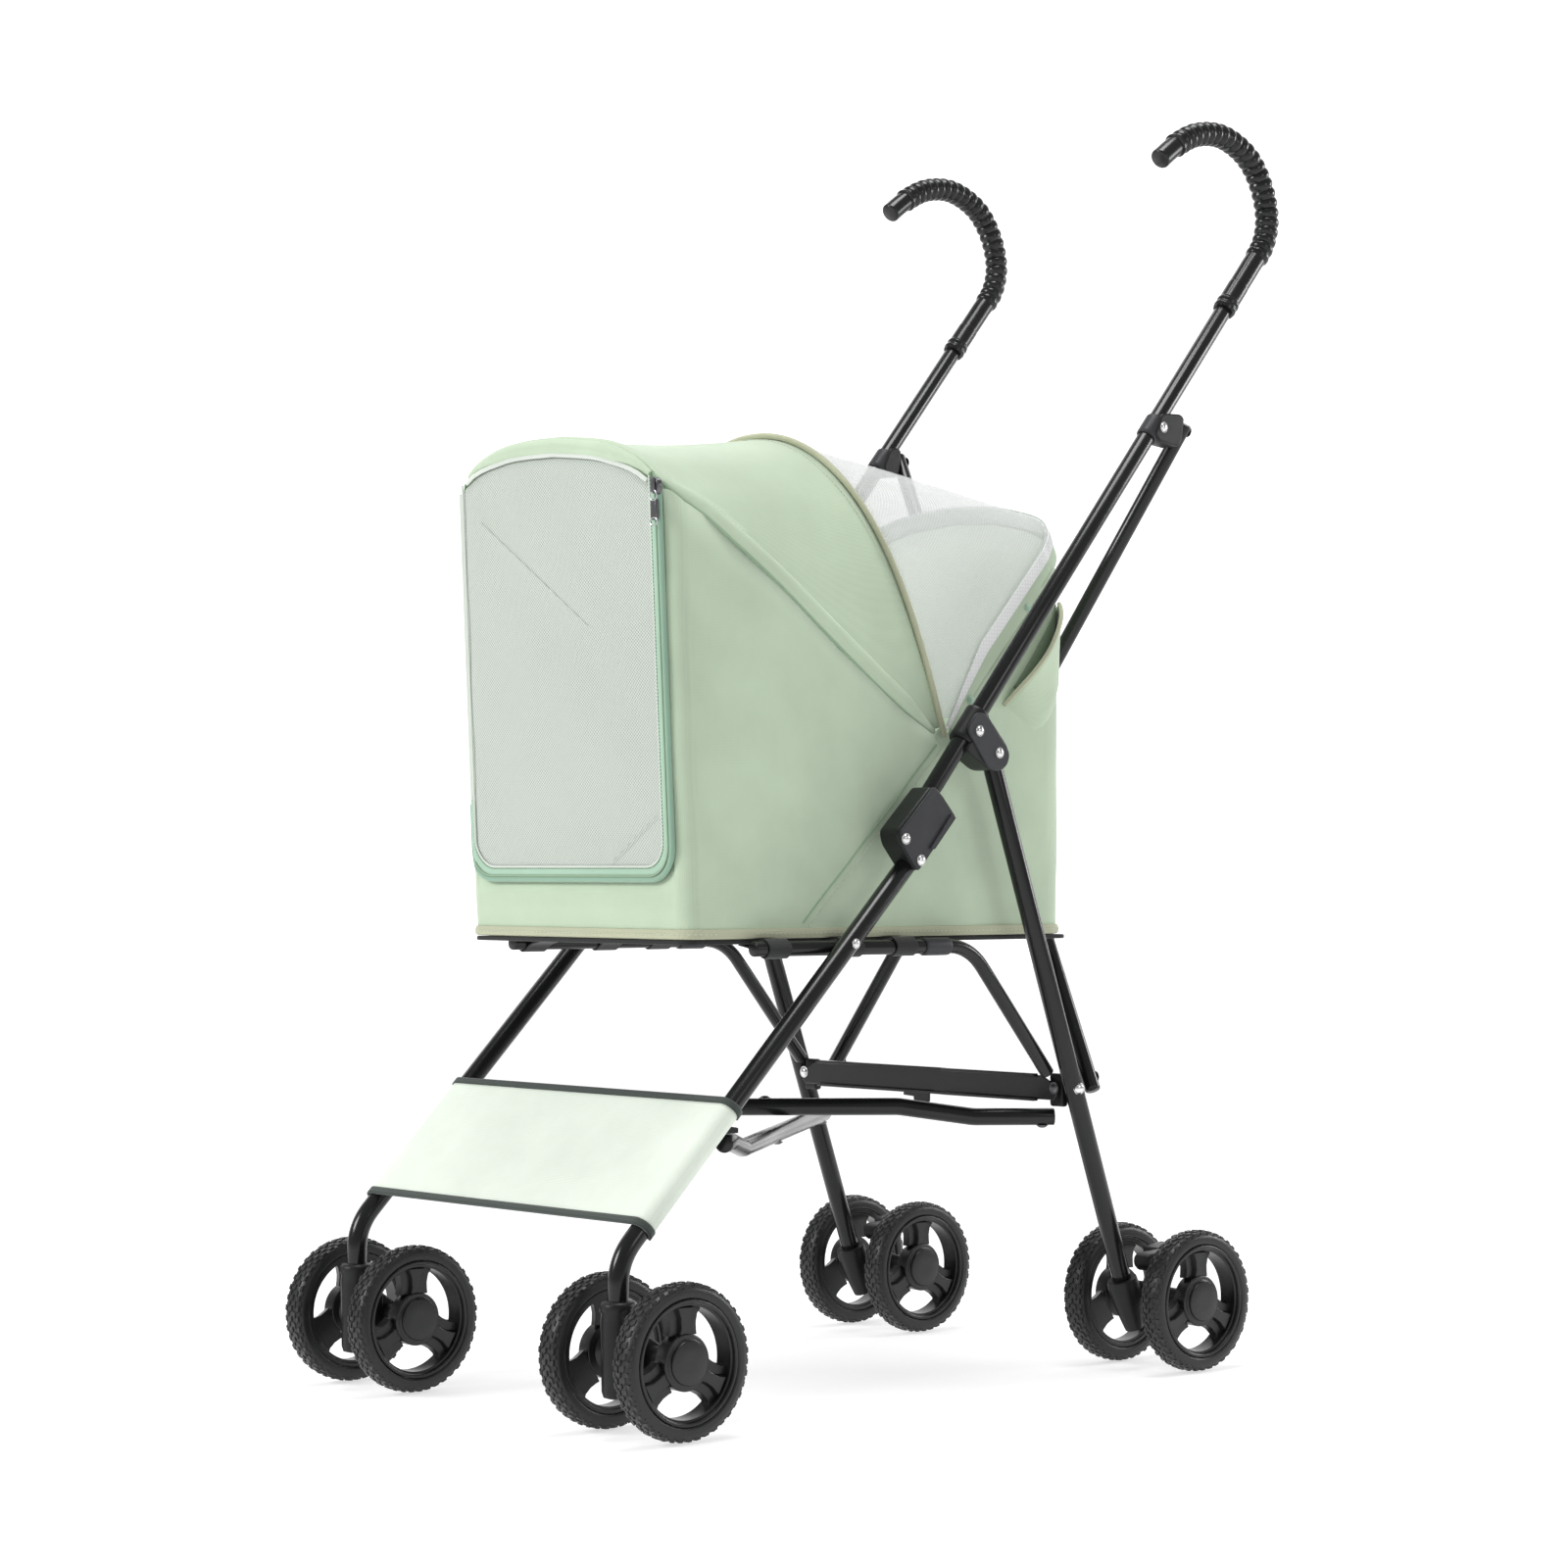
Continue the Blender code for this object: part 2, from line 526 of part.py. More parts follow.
def thicken(name, bm, mat, thickness, origin, outward):
    bmesh.ops.recalc_face_normals(bm, faces=bm.faces)
    up = sum((f.normal * f.calc_area() for f in bm.faces), Vector())
    me = bpy.data.meshes.new(name)
    bm.to_mesh(me)
    bm.free()
    ob = bpy.data.objects.new(name, me)
    bpy.context.scene.collection.objects.link(ob)
    me.materials.append(MATS[mat])
    m = ob.modifiers.new("skin", "SOLIDIFY")
    m.thickness = thickness
    m.offset = outward * (1 if up.z >= 0 else -1)
    m.use_even_offset = False
    made = bpy.data.meshes.new_from_object(
        ob.evaluated_get(bpy.context.evaluated_depsgraph_get())
    )
    ob.modifiers.clear()
    ob.data = made
    settle(ob, origin, 35)
    return ob


def rim_z(y, table):
    for (a, za), (b, zb) in zip(table, table[1:]):
        if a <= y <= b:
            return za + (zb - za) * (y - a) / (b - a)
    return table[0][1] if y < table[0][0] else table[-1][1]


def leaned(y, z):
    """y of a wall point at height z, with the front panel's lean fading out along the sides."""
    return y - LEAN * (z - CABIN_FLOOR) * max(0.0, 1 - (y - CABIN_FRONT) / 0.130)


def tub():
    half = plan()
    side_top = sorted((p[1], p[2]) for p in FRONT_BOW[:5])
    side_top = side_top + sorted((p[1], p[2]) for p in REAR_RIM[1:4])
    tops = []
    for i, (x, y) in enumerate(half):
        if i < 3:
            z = 0.4000
        elif y >= CABIN_BACK - 0.012:
            z = rim_z(-x, [(-p[0], p[2]) for p in REAR_RIM[3:]])
        else:
            z = rim_z(leaned(y, 0.693), side_top)
        tops.append(z - (0.0035 if i > 2 else 0))
    ring = [(x, y, z) for (x, y), z in zip(half, tops)]
    ring += [(-x, y, z) for x, y, z in reversed(ring[1:-1])]
    bm = bmesh.new()
    low = [bm.verts.new(place(x, y, CABIN_FLOOR)) for x, y, z in ring]
    mid = [bm.verts.new(place(x, leaned(y, 0.4), 0.4000)) for x, y, z in ring]
    high = [m if z <= 0.4001 else bm.verts.new(place(x, leaned(y, z), z)) for m, (x, y, z) in zip(mid, ring)]
    n = len(ring)
    for k in range(n):
        j = (k + 1) % n
        bm.faces.new((low[k], low[j], mid[j], mid[k]))
        open_pair = (high[k] is mid[k]) and (high[j] is mid[j])
        if open_pair:
            continue
        if high[k] is mid[k] or high[j] is mid[j]:
            continue
        bm.faces.new((mid[k], mid[j], high[j], high[k]))
    bm.faces.new(low)
    bmesh.ops.recalc_face_normals(bm, faces=bm.faces)
    base = next(f for f in bm.faces if len(f.verts) > 4)
    out = base.normal.z < 0
    me = bpy.data.meshes.new("cabin_tub")
    bm.to_mesh(me)
    bm.free()
    ob = bpy.data.objects.new("cabin_tub", me)
    bpy.context.scene.collection.objects.link(ob)
    me.materials.append(MATS["green_fabric"])
    m = ob.modifiers.new("skin", "SOLIDIFY")
    m.thickness = FABRIC
    m.offset = -1 if out else 1
    made = bpy.data.meshes.new_from_object(
        ob.evaluated_get(bpy.context.evaluated_depsgraph_get())
    )
    ob.modifiers.clear()
    ob.data = made
    settle(ob, None, 35)


tub()

ROWS = 5
front = whole(FRONT_BOW, 15)
rear = whole([(p.x, p.y, p.z) for p in bow_curve()], 15)
rows = [[a.lerp(b, v / (ROWS - 1)) for a, b in zip(front, rear)] for v in range(ROWS)]
rows[-1] = [a.lerp(b, 0.975) for a, b in zip(front, rear)]
trimmed = [r[1:-1] for r in rows]
shell("canopy_hood", trimmed, "green_fabric", outward=-1)

rim = whole(REAR_RIM, 15)
rows = [[a.lerp(b, 0.03 + 0.965 * v / 3) for a, b in zip(rear, rim)] for v in range(4)]
shell("mesh_top", [r[1:-1] for r in rows], "white_mesh", 0.0010, outward=-1)

bow = [p for p in bow_curve(BOW_REACH + 0.0045, CABIN_X + 0.0045, 14)]
arch = [place(p.x, p.y, p.z) for p in bow] + [place(-p.x, p.y, p.z) for p in reversed(bow[:-1])]
tube("canopy_bow", arch, 0.0028, "trim_beige", seg=8, ref=(0, 1, 0), origin=place(0, *PIVOT))

# front door: a flap that hangs from its top edge in front of the opening
DOOR_X, DOOR_LOW, DOOR_CORNER = 0.1215, 0.4030, 0.026
outline = []
for a in (0, 30, 60, 90):
    t = math.radians(a)
    outline.append((DOOR_X - DOOR_CORNER + DOOR_CORNER * math.sin(t),
                    DOOR_LOW + DOOR_CORNER - DOOR_CORNER * math.cos(t)))
outline += [(DOOR_X, 0.6960), (0.0900, 0.7170), (0.0500, 0.7290)]
outline = outline + [(-x, z) for x, z in reversed(outline)]
bm = bmesh.new()
a = [bm.verts.new(place(x, leaned(CABIN_FRONT, z) - 0.0038, z)) for x, z in outline]
b = [bm.verts.new(place(x, leaned(CABIN_FRONT, z) - 0.0020, z)) for x, z in outline]
skin(bm, a, b)
bm.faces.new(a)
bm.faces.new(b)
finish("front_door", bm, "white_mesh", place(0, leaned(CABIN_FRONT, 0.7) - 0.0029, 0.7000))

box("zipper_pull", (0.1205, 0.0412, 0.6600), (0.1265, 0.0448, 0.6950), "zip_metal", place(0.1235, 0.0430, 0.6900))
box("floor_mat", (-0.1180, 0.0790, 0.3600), (0.1180, 0.4600, 0.3780), "mat_fabric")
box("base_sling", (-0.1365, 0.0635, 0.3530), (0.1365, 0.4780, 0.3565), "base_fabric")

# footrest: a sling over the front legs that wraps round their outer sides
u = Vector((0, math.cos(math.radians(LEG_ANGLE)), math.sin(math.radians(LEG_ANGLE))))
n = Vector((0, -u.z, u.y))
centre = place(0, *LEG_LINE)
profile = [(-FRAME_X - 0.001, -0.0097)]
for i in range(7):
    t = math.radians(-105 - 27.5 * i)
    profile.append((-FRAME_X + 0.0097 * math.cos(t), 0.0097 * math.sin(t)))
outer = profile + [(-x, h) for x, h in reversed(profile)]
bm = bmesh.new()
ends = []
for d in (-0.2440, -0.1215):
    ring_out = [bm.verts.new(centre + u * d + n * h + Vector((x, 0, 0))) for x, h in outer]
    ring_in = []
    for x, h in outer:
        side_x = FRAME_X if x > 0 else -FRAME_X
        k = 0.0084 / 0.0097
        ring_in.append(bm.verts.new(centre + u * d + n * h * k
                                    + Vector((side_x + (x - side_x) * k, 0, 0))))
    ends.append((ring_out, ring_in))
(o0, i0), (o1, i1) = ends
last = len(o0) - 1
for k in range(last):
    bm.faces.new((o0[k], o0[k + 1], o1[k + 1], o1[k]))
    bm.faces.new((i0[k], i0[k + 1], i1[k + 1], i1[k]))
    bm.faces.new((o0[k], o0[k + 1], i0[k + 1], i0[k]))
    bm.faces.new((o1[k], o1[k + 1], i1[k + 1], i1[k]))
for k in (0, last):
    bm.faces.new((o0[k], o1[k], i1[k], i0[k]))
finish("footrest_sling", bm, "green_fabric")
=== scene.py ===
"""Looks of the folding pet stroller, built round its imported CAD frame."""

import math

import bmesh
import bpy
from mathutils import Matrix, Vector


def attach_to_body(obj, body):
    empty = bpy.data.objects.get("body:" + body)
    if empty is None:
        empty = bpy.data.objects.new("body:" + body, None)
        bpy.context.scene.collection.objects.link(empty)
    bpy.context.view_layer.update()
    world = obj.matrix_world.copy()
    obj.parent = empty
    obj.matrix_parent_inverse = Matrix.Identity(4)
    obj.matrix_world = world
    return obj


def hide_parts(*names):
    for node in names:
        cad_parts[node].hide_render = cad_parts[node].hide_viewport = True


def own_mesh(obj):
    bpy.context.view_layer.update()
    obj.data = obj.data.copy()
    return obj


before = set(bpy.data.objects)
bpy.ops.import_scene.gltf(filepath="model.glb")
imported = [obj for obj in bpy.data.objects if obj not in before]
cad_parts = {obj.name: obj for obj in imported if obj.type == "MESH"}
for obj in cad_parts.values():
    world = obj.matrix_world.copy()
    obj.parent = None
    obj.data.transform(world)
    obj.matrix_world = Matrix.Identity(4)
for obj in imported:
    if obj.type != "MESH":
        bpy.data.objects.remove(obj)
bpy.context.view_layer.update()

# ---- driving dimensions, the same as the CAD's, in metres; y is counted from the front axle
WHEEL_R = 0.0575
FRAME_X = 0.1642
REAR_AXLE_Y = 0.5473
CENTRE_Y = (0.7007 - WHEEL_R) / 2
WHEEL_X, WHEEL_HALF = 0.0429, 0.0105
HANDLE_R, LEG_R, RAIL_R, X_BAR_R, LOW_BAR_R = 0.0073, 0.0078, 0.0057, 0.0064, 0.0070
SWIVEL_Y = -0.0235
CABIN_X, CABIN_FRONT, CABIN_BACK, CABIN_FLOOR = 0.135, 0.0665, 0.4765, 0.3575
CORNER, FRONT_CORNER, LEAN = 0.030, 0.014, 0.0495
PIVOT = (0.331, 0.515)
BOW_ANGLE, BOW_REACH = 108.7, 0.2560
TAU = 2 * math.pi


def place(x, y, z):
    """A point of the frame; y is counted from the front axle."""
    return Vector((x, y - CENTRE_Y, z))


def line(p, angle, dist):
    """The side-view point at a distance along a slanted line."""
    a = math.radians(angle)
    return (p[0] + dist * math.cos(a), p[1] + dist * math.sin(a))


# ---- materials
def links(nt, *pairs):
    for a, b in pairs:
        nt.links.new(a, b)


def node(nt, kind, **values):
    n = nt.nodes.new(kind)
    for k, v in values.items():
        if hasattr(n, k):
            setattr(n, k, v)
        else:
            n.inputs[k.replace("_", " ")].default_value = v
    return n


def math_node(nt, op, a, b=None, c=None):
    n = nt.nodes.new("ShaderNodeMath")
    n.operation = op
    for i, v in enumerate((a, b, c)):
        if v is None:
            continue
        if isinstance(v, (int, float)):
            n.inputs[i].default_value = v
        else:
            nt.links.new(v, n.inputs[i])
    return n.outputs[0]


def principled(name):
    """A new material with its node tree and shader."""
    m = bpy.data.materials.new(name)
    m.use_nodes = True
    return m, m.node_tree, m.node_tree.nodes["Principled BSDF"]


def sockets(shader, **values):
    """Sets the shader's own sockets; an underscore stands for a space."""
    for key, value in values.items():
        shader.inputs[key.replace("_", " ")].default_value = value


def shaded(name, colour, rough, dark=0.85, patch=18.0, metallic=0.0):
    """A Principled material whose colour varies softly over the surface."""
    m, nt, b = principled(name)
    co = node(nt, "ShaderNodeTexCoord")
    noise = node(nt, "ShaderNodeTexNoise", Scale=patch, Detail=5.0, Roughness=0.6)
    ramp = node(nt, "ShaderNodeValToRGB")
    low, high = ramp.color_ramp.elements
    low.position, high.position = 0.3, 0.7
    low.color, high.color = (*[c * dark for c in colour], 1), (*colour, 1)
    links(nt, (co.outputs["Object"], noise.inputs["Vector"]), (noise.outputs["Fac"], ramp.inputs["Fac"]),
          (ramp.outputs["Color"], b.inputs["Base Color"]))
    sockets(b, Metallic=metallic, Roughness=rough)
    return m, nt, b, co, noise


def bump(nt, b, height, distance, strength=0.6):
    n = node(nt, "ShaderNodeBump", Strength=strength, Distance=distance)
    links(nt, (height, n.inputs["Height"]), (n.outputs["Normal"], b.inputs["Normal"]))


def ramp_rough(nt, b, fac, low, high):
    r = node(nt, "ShaderNodeMapRange", To_Min=low, To_Max=high)
    links(nt, (fac, r.inputs["Value"]), (r.outputs["Result"], b.inputs["Roughness"]))


def paint(name, colour, rough=0.28):
    m, nt, b, co, noise = shaded(name, colour, rough, 0.8, 9.0)
    fine = node(nt, "ShaderNodeTexNoise", Scale=420.0, Detail=3.0)
    links(nt, (co.outputs["Object"], fine.inputs["Vector"]))
    ramp_rough(nt, b, noise.outputs["Fac"], rough - 0.06, rough + 0.12)
    bump(nt, b, fine.outputs["Fac"], 0.00004, 0.25)
    sockets(b, Coat_Weight=0.15, Specular_IOR_Level=0.30, Coat_Roughness=0.18)
    return m


def plastic(name, colour, rough=0.42, grain=900.0, spec=0.26):
    m, nt, b, co, noise = shaded(name, colour, rough, 0.78, 24.0)
    fine = node(nt, "ShaderNodeTexNoise", Scale=grain, Detail=4.0, Roughness=0.7)
    links(nt, (co.outputs["Object"], fine.inputs["Vector"]))
    ramp_rough(nt, b, noise.outputs["Fac"], rough - 0.06, rough + 0.16)
    bump(nt, b, fine.outputs["Fac"], 0.00025, 0.45)
    sockets(b, Specular_IOR_Level=spec)
    return m


def metal(name, colour, rough):
    m, nt, b, co, noise = shaded(name, colour, rough, 0.8, 60.0, 1.0)
    brushed = node(nt, "ShaderNodeTexNoise", Scale=700.0, Detail=2.0)
    links(nt, (co.outputs["Object"], brushed.inputs["Vector"]))
    ramp_rough(nt, b, brushed.outputs["Fac"], rough - 0.05, rough + 0.15)
    bump(nt, b, brushed.outputs["Fac"], 0.0001, 0.2)
    return m


def weave_height(nt, co, pitch):
    """A woven surface: sines along the three axes, so every side of the piece shows threads."""
    sep = node(nt, "ShaderNodeSeparateXYZ")
    links(nt, (co.outputs["Object"], sep.inputs["Vector"]))
    waves = [math_node(nt, "SINE", math_node(nt, "MULTIPLY", sep.outputs[k], TAU / pitch)) for k in range(3)]
    xy = math_node(nt, "ADD", waves[0], waves[1])
    return math_node(nt, "MULTIPLY_ADD", math_node(nt, "ADD", xy, waves[2]), 0.1667, 0.5)


def cloth(name, colour, rough=0.82, pitch=0.0011, dark=0.9, sheen=0.25, depth=0.00022, patch=14.0,
          thread=0.06):
    m, nt, b, co, noise = shaded(name, colour, rough, dark, patch)
    h = weave_height(nt, co, pitch)
    mix = node(nt, "ShaderNodeMixRGB", blend_type="MULTIPLY")
    tone = node(nt, "ShaderNodeMapRange", To_Min=1.0 - thread, To_Max=1.0 + thread * 0.3)
    comb = node(nt, "ShaderNodeCombineColor")
    ramp = next(n for n in nt.nodes if n.type == "VALTORGB")
    mix.inputs["Fac"].default_value = 1.0
    links(nt, (h, tone.inputs["Value"]), (tone.outputs["Result"], comb.inputs[0]),
          (tone.outputs["Result"], comb.inputs[1]), (tone.outputs["Result"], comb.inputs[2]),
          (ramp.outputs["Color"], mix.inputs["Color1"]), (comb.outputs["Color"], mix.inputs["Color2"]),
          (mix.outputs["Color"], b.inputs["Base Color"]))
    fuzz = node(nt, "ShaderNodeTexNoise", Scale=1500.0, Detail=2.0)
    links(nt, (co.outputs["Object"], fuzz.inputs["Vector"]))
    height = math_node(nt, "ADD", h, math_node(nt, "MULTIPLY", fuzz.outputs["Fac"], 0.4))
    bump(nt, b, height, depth, 0.5)
    sockets(b, Sheen_Weight=sheen, Sheen_Roughness=0.45, Specular_IOR_Level=0.25)
    return m


GREEN = (0.520, 0.635, 0.475)
M = {
    "paint": paint("black_enamel", (0.010, 0.0105, 0.011), 0.20),
    "nylon": plastic("satin_black_nylon", (0.013, 0.0135, 0.0145), 0.34),
    # a lighter copy of the black nylon: painted light on the cheeks, ribs, sleeves and pads that face the
    # light
    "nylon_painted_lit": plastic("satin_black_painted_lit", (0.040, 0.041, 0.045), 0.36),
    "grip": paint("grip_gloss_black", (0.012, 0.0125, 0.013), 0.22),
    "rim": plastic("rim_black", (0.012, 0.0125, 0.013), 0.26, spec=0.45),
    "tyre": plastic("tyre_black", (0.013, 0.0135, 0.0138), 0.34, 700.0, spec=0.45),
    "rivet": metal("bright_rivet", (0.85, 0.85, 0.85), 0.16),
    "steel": metal("axle_steel_grey", (0.55, 0.55, 0.56), 0.30),
    "gunmetal": metal("gunmetal", (0.16, 0.16, 0.17), 0.28),
    "green": cloth("sage_canvas", GREEN),
    "inside": cloth("sage_lining", (0.66, 0.73, 0.64), thread=0.08),
    "seam": cloth("sage_seam", (0.30, 0.43, 0.29), pitch=0.0016),
    "piping": cloth("mint_piping", (0.40, 0.58, 0.45), pitch=0.0013, sheen=0.4),
    # a darker mint piping, partly painted shadow along the door's outer edge
    "piping_dark_and_shadow": cloth("mint_piping_and_edge_shadow", (0.28, 0.44, 0.33), pitch=0.0013, sheen=0.4),
    "arch_white": cloth("arch_band", (0.66, 0.71, 0.65), pitch=0.0014, sheen=0.4),
    # a darker net colour for painted shade along folds
    "net_fold_shade": cloth("net_fold_painted_shade", (0.50, 0.55, 0.50), pitch=0.0014),
    # grey-green painted shade for the gaps between the white elastic ribs
    "rib_gap_shade": cloth("elastic_rib_gap_shade", (0.56, 0.61, 0.56), pitch=0.0020),
    # dark green painted shade for the inside of the pocket mouth
    "pocket_painted_shade": cloth("pocket_painted_shade_cloth", (0.17, 0.23, 0.15), pitch=0.0014),
    "beige": cloth("beige_binding", (0.500, 0.520, 0.370), pitch=0.0014, depth=0.0004),
    "thread": cloth("pale_thread", (0.62, 0.68, 0.55), pitch=0.0006),
    "white": cloth("white_elastic", (0.93, 0.94, 0.94), pitch=0.0030, depth=0.0008, thread=0.14),
    "foot": cloth("pale_mint_canvas", (0.82, 0.89, 0.79)),
    "hem": cloth("dark_hem", (0.055, 0.070, 0.062), pitch=0.0014, depth=0.0004),
    "black_cloth": cloth("black_canvas", (0.020, 0.021, 0.021), pitch=0.0016, depth=0.0004),
    "mat": cloth("mat_plush", (0.46, 0.60, 0.46), pitch=0.0020, sheen=0.6, depth=0.0006),
}


def net(name, thread, hole, pitch, alpha_low, alpha_high, glow=0.0):
    """Knitted mesh: rows of small open holes in a pale net, a little see-through at each hole; glow paints
    light into the threads.
    """
    m, nt, b = principled(name)
    co = node(nt, "ShaderNodeTexCoord")
    sep = node(nt, "ShaderNodeSeparateXYZ")
    links(nt, (co.outputs["Object"], sep.inputs["Vector"]))
    flat = math_node(nt, "SUBTRACT", sep.outputs[0], sep.outputs[1])
    across = math_node(nt, "SINE", math_node(nt, "MULTIPLY", flat, TAU / pitch))
    rise = math_node(nt, "SINE", math_node(nt, "MULTIPLY", sep.outputs[2], TAU / pitch * 1.1))
    dots = math_node(nt, "MULTIPLY_ADD", math_node(nt, "MULTIPLY", across, rise), 0.5, 0.5)
    ramp = node(nt, "ShaderNodeValToRGB")
    first, last = ramp.color_ramp.elements
    first.position, last.position = 0.40, 0.72
    first.color, last.color = (*thread, 1), (*hole, 1)
    noise = node(nt, "ShaderNodeTexNoise", Scale=9.0, Detail=4.0)
    tone = node(nt, "ShaderNodeMapRange", To_Min=0.94, To_Max=1.04)
    mix = node(nt, "ShaderNodeVectorMath", operation="MULTIPLY")
    clear = node(nt, "ShaderNodeMapRange", From_Min=0.40, From_Max=0.75, To_Min=alpha_high, To_Max=alpha_low)
    links(nt, (co.outputs["Object"], noise.inputs["Vector"]), (noise.outputs["Fac"], tone.inputs["Value"]),
          (dots, ramp.inputs["Fac"]), (ramp.outputs["Color"], mix.inputs[0]),
          (tone.outputs["Result"], mix.inputs[1]), (mix.outputs["Vector"], b.inputs["Base Color"]),
          (dots, clear.inputs["Value"]),
          (clear.outputs["Result"], b.inputs["Alpha"]))
    sockets(b, Roughness=0.7, Specular_IOR_Level=0.2, Sheen_Weight=0.2, Emission_Color=(*thread, 1),
            Emission_Strength=glow)
    bump(nt, b, math_node(nt, "SUBTRACT", 1.0, dots), 0.0005, 0.5)
    return m


# a little glow stands in for the light that comes through the cloth
sockets(M["inside"].node_tree.nodes["Principled BSDF"], Emission_Color=(0.64, 0.76, 0.61, 1),
        Emission_Strength=0.34)
M["door_net"] = net("door_net", (0.61, 0.65, 0.60), (0.39, 0.44, 0.39), 0.0030, 0.80, 0.97)
# the top net's small glow is painted light in its threads
M["top_net"] = net("top_net", (0.84, 0.84, 0.85), (0.76, 0.77, 0.78), 0.0026, 0.18, 0.46, 0.05)


# ---- mesh helpers
def smooth_mesh(name, bm, mat, angle):
    """The bmesh as a mesh with outward normals, its material and sharp edges above an angle in degrees."""
    bmesh.ops.recalc_face_normals(bm, faces=bm.faces)
    me = bpy.data.meshes.new(name)
    bm.to_mesh(me)
    bm.free()
    me.materials.append(M[mat])
    for p in me.polygons:
        p.use_smooth = True
    me.set_sharp_from_angle(angle=math.radians(angle))
    return me


def linked(name, data):
    """A new object in the scene."""
    ob = bpy.data.objects.new(name, data)
    bpy.context.scene.collection.objects.link(ob)
    return ob


def attach(ob, body, stands_for=()):
    """The piece rides on a body, and may stand for a CAD node, which it hides."""
    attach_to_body(ob, body)
    if stands_for:
        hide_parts(stands_for)
    return ob


def add(name, bm, mat, body, stands_for=(), smooth=40):
    """Turns a bmesh into a piece on a body."""
    return attach(linked(name, smooth_mesh(name, bm, mat, smooth)), body, stands_for)


def soft(ob):
    """Fabric on the folding frame: its modifiers are applied and it gets a mesh of its own."""
    apply_modifiers(ob)
    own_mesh(ob)
    return ob


def fabric(name, bm, mat, slot="green_fabric", body="right_frame", stands_for=()):
    """A small sewn piece on the cabin."""
    return soft(add(name, bm, mat, body, stands_for))


def piping(name, mat, pts, r, seg=8, ref=(0, 1, 0), flat=1.0, **how):
    """A sewn cord or seam along a line."""
    bm = bmesh.new()
    sweep(bm, pts, r, seg, ref, flat)
    return fabric(name, bm, mat, **how)


def sewn(name, mat, pts, normals, pitch, long, **how):
    """A row of stitches along a line."""
    bm = bmesh.new()
    stitches(bm, pts, normals, pitch, long)
    return fabric(name, bm, mat, **how)


def apply_modifiers(ob):
    """Replaces the mesh by its modified shape."""
    if not ob.modifiers:
        return
    made = bpy.data.meshes.new_from_object(ob.evaluated_get(bpy.context.evaluated_depsgraph_get()))
    ob.modifiers.clear()
    ob.data = made


def bevel(ob, width, segments=2, angle=35):
    """Rounds the piece's sharp edges."""
    m = ob.modifiers.new("bevel", "BEVEL")
    m.width = width
    m.segments = segments
    m.limit_method = "ANGLE"
    m.angle_limit = math.radians(angle)
    return ob


def skin(bm, a, b, close=True):
    """Faces between two rows of points."""
    n = len(a)
    for k in range(n if close else n - 1):
        bm.faces.new((a[k], a[(k + 1) % n], b[(k + 1) % n], b[k]))


def loft(bm, loops):
    """Skins neighbouring loops together and closes both ends."""
    for a, b in zip(loops, loops[1:]):
        skin(bm, a, b)
    bm.faces.new(loops[0])
    bm.faces.new(loops[-1])


def circle(count, wide, high):
    """Points round an ellipse with these half sizes."""
    return [(wide * math.cos(TAU * k / count), high * math.sin(TAU * k / count)) for k in range(count)]


def threaded(bm, pts, across, shape, closed=False):
    """A thin section along a path; its second coordinate always points the same way, along across."""
    loops, n = [], len(pts)
    for i, p in enumerate(pts):
        ahead = pts[(i + 1) % n if closed else min(i + 1, n - 1)]
        behind = pts[i - 1 if closed else max(i - 1, 0)]
        side = (ahead - behind).normalized().cross(across).normalized()
        loops.append([bm.verts.new(p + side * a + across * b) for a, b in shape])
    if closed:
        for i in range(n):
            skin(bm, loops[i - 1], loops[i])
    else:
        loft(bm, loops)


def rounded(pts, radius, steps=10):
    """A path with its corners rounded."""
    out = [pts[0]]
    for a, b, c in zip(pts, pts[1:], pts[2:]):
        u, w = (a - b).normalized(), (c - b).normalized()
        turn = math.pi - u.angle(w)
        if turn < 0.01:
            out.append(b)
            continue
        cut = min(radius * math.tan(turn / 2), (a - b).length * 0.49, (c - b).length * 0.49)
        p, q = b + u * cut, b + w * cut
        for i in range(steps + 1):
            t = i / steps
            out.append(p * (1 - t) ** 2 + b * 2 * t * (1 - t) + q * t * t)
    out.append(pts[-1])
    return out


def evenly(pts, count):
    """Points at equal distances along a path."""
    total = [0.0]
    for a, b in zip(pts, pts[1:]):
        total.append(total[-1] + (b - a).length)
    out, k = [], 0
    for i in range(count):
        d = total[-1] * i / (count - 1)
        while k < len(pts) - 2 and total[k + 1] < d:
            k += 1
        t = (d - total[k]) / max(total[k + 1] - total[k], 1e-12)
        out.append(pts[k].lerp(pts[k + 1], min(max(t, 0), 1)))
    return out


def spline(pts, per=8):
    """A Catmull-Rom curve through the points."""
    out = []
    for i in range(len(pts) - 1):
        p0, p1, p2, p3 = pts[max(i - 1, 0)], pts[i], pts[i + 1], pts[min(i + 2, len(pts) - 1)]
        for k in range(per):
            t = k / per
            out.append(0.5 * ((2 * p1) + (p2 - p0) * t + (2 * p0 - 5 * p1 + 4 * p2 - p3) * t * t
                              + (3 * p1 - p0 - 3 * p2 + p3) * t ** 3))
    out.append(pts[-1])
    return out


def sweep(bm, pts, radii, seg=24, ref=(1, 0, 0), flat=1.0):
    """A round bar along a path; flat squeezes it along the reference's normal."""
    if not isinstance(radii, (list, tuple)):
        radii = [radii] * len(pts)
    n1, loops = Vector(ref).normalized(), []
    for i, p in enumerate(pts):
        t = (pts[min(i + 1, len(pts) - 1)] - pts[max(i - 1, 0)]).normalized()
        n1 = (n1 - t * n1.dot(t)).normalized()
        n2 = t.cross(n1)
        loops.append([bm.verts.new(p + n1 * a + n2 * b) for a, b in circle(seg, radii[i], radii[i] * flat)])
    loft(bm, loops)


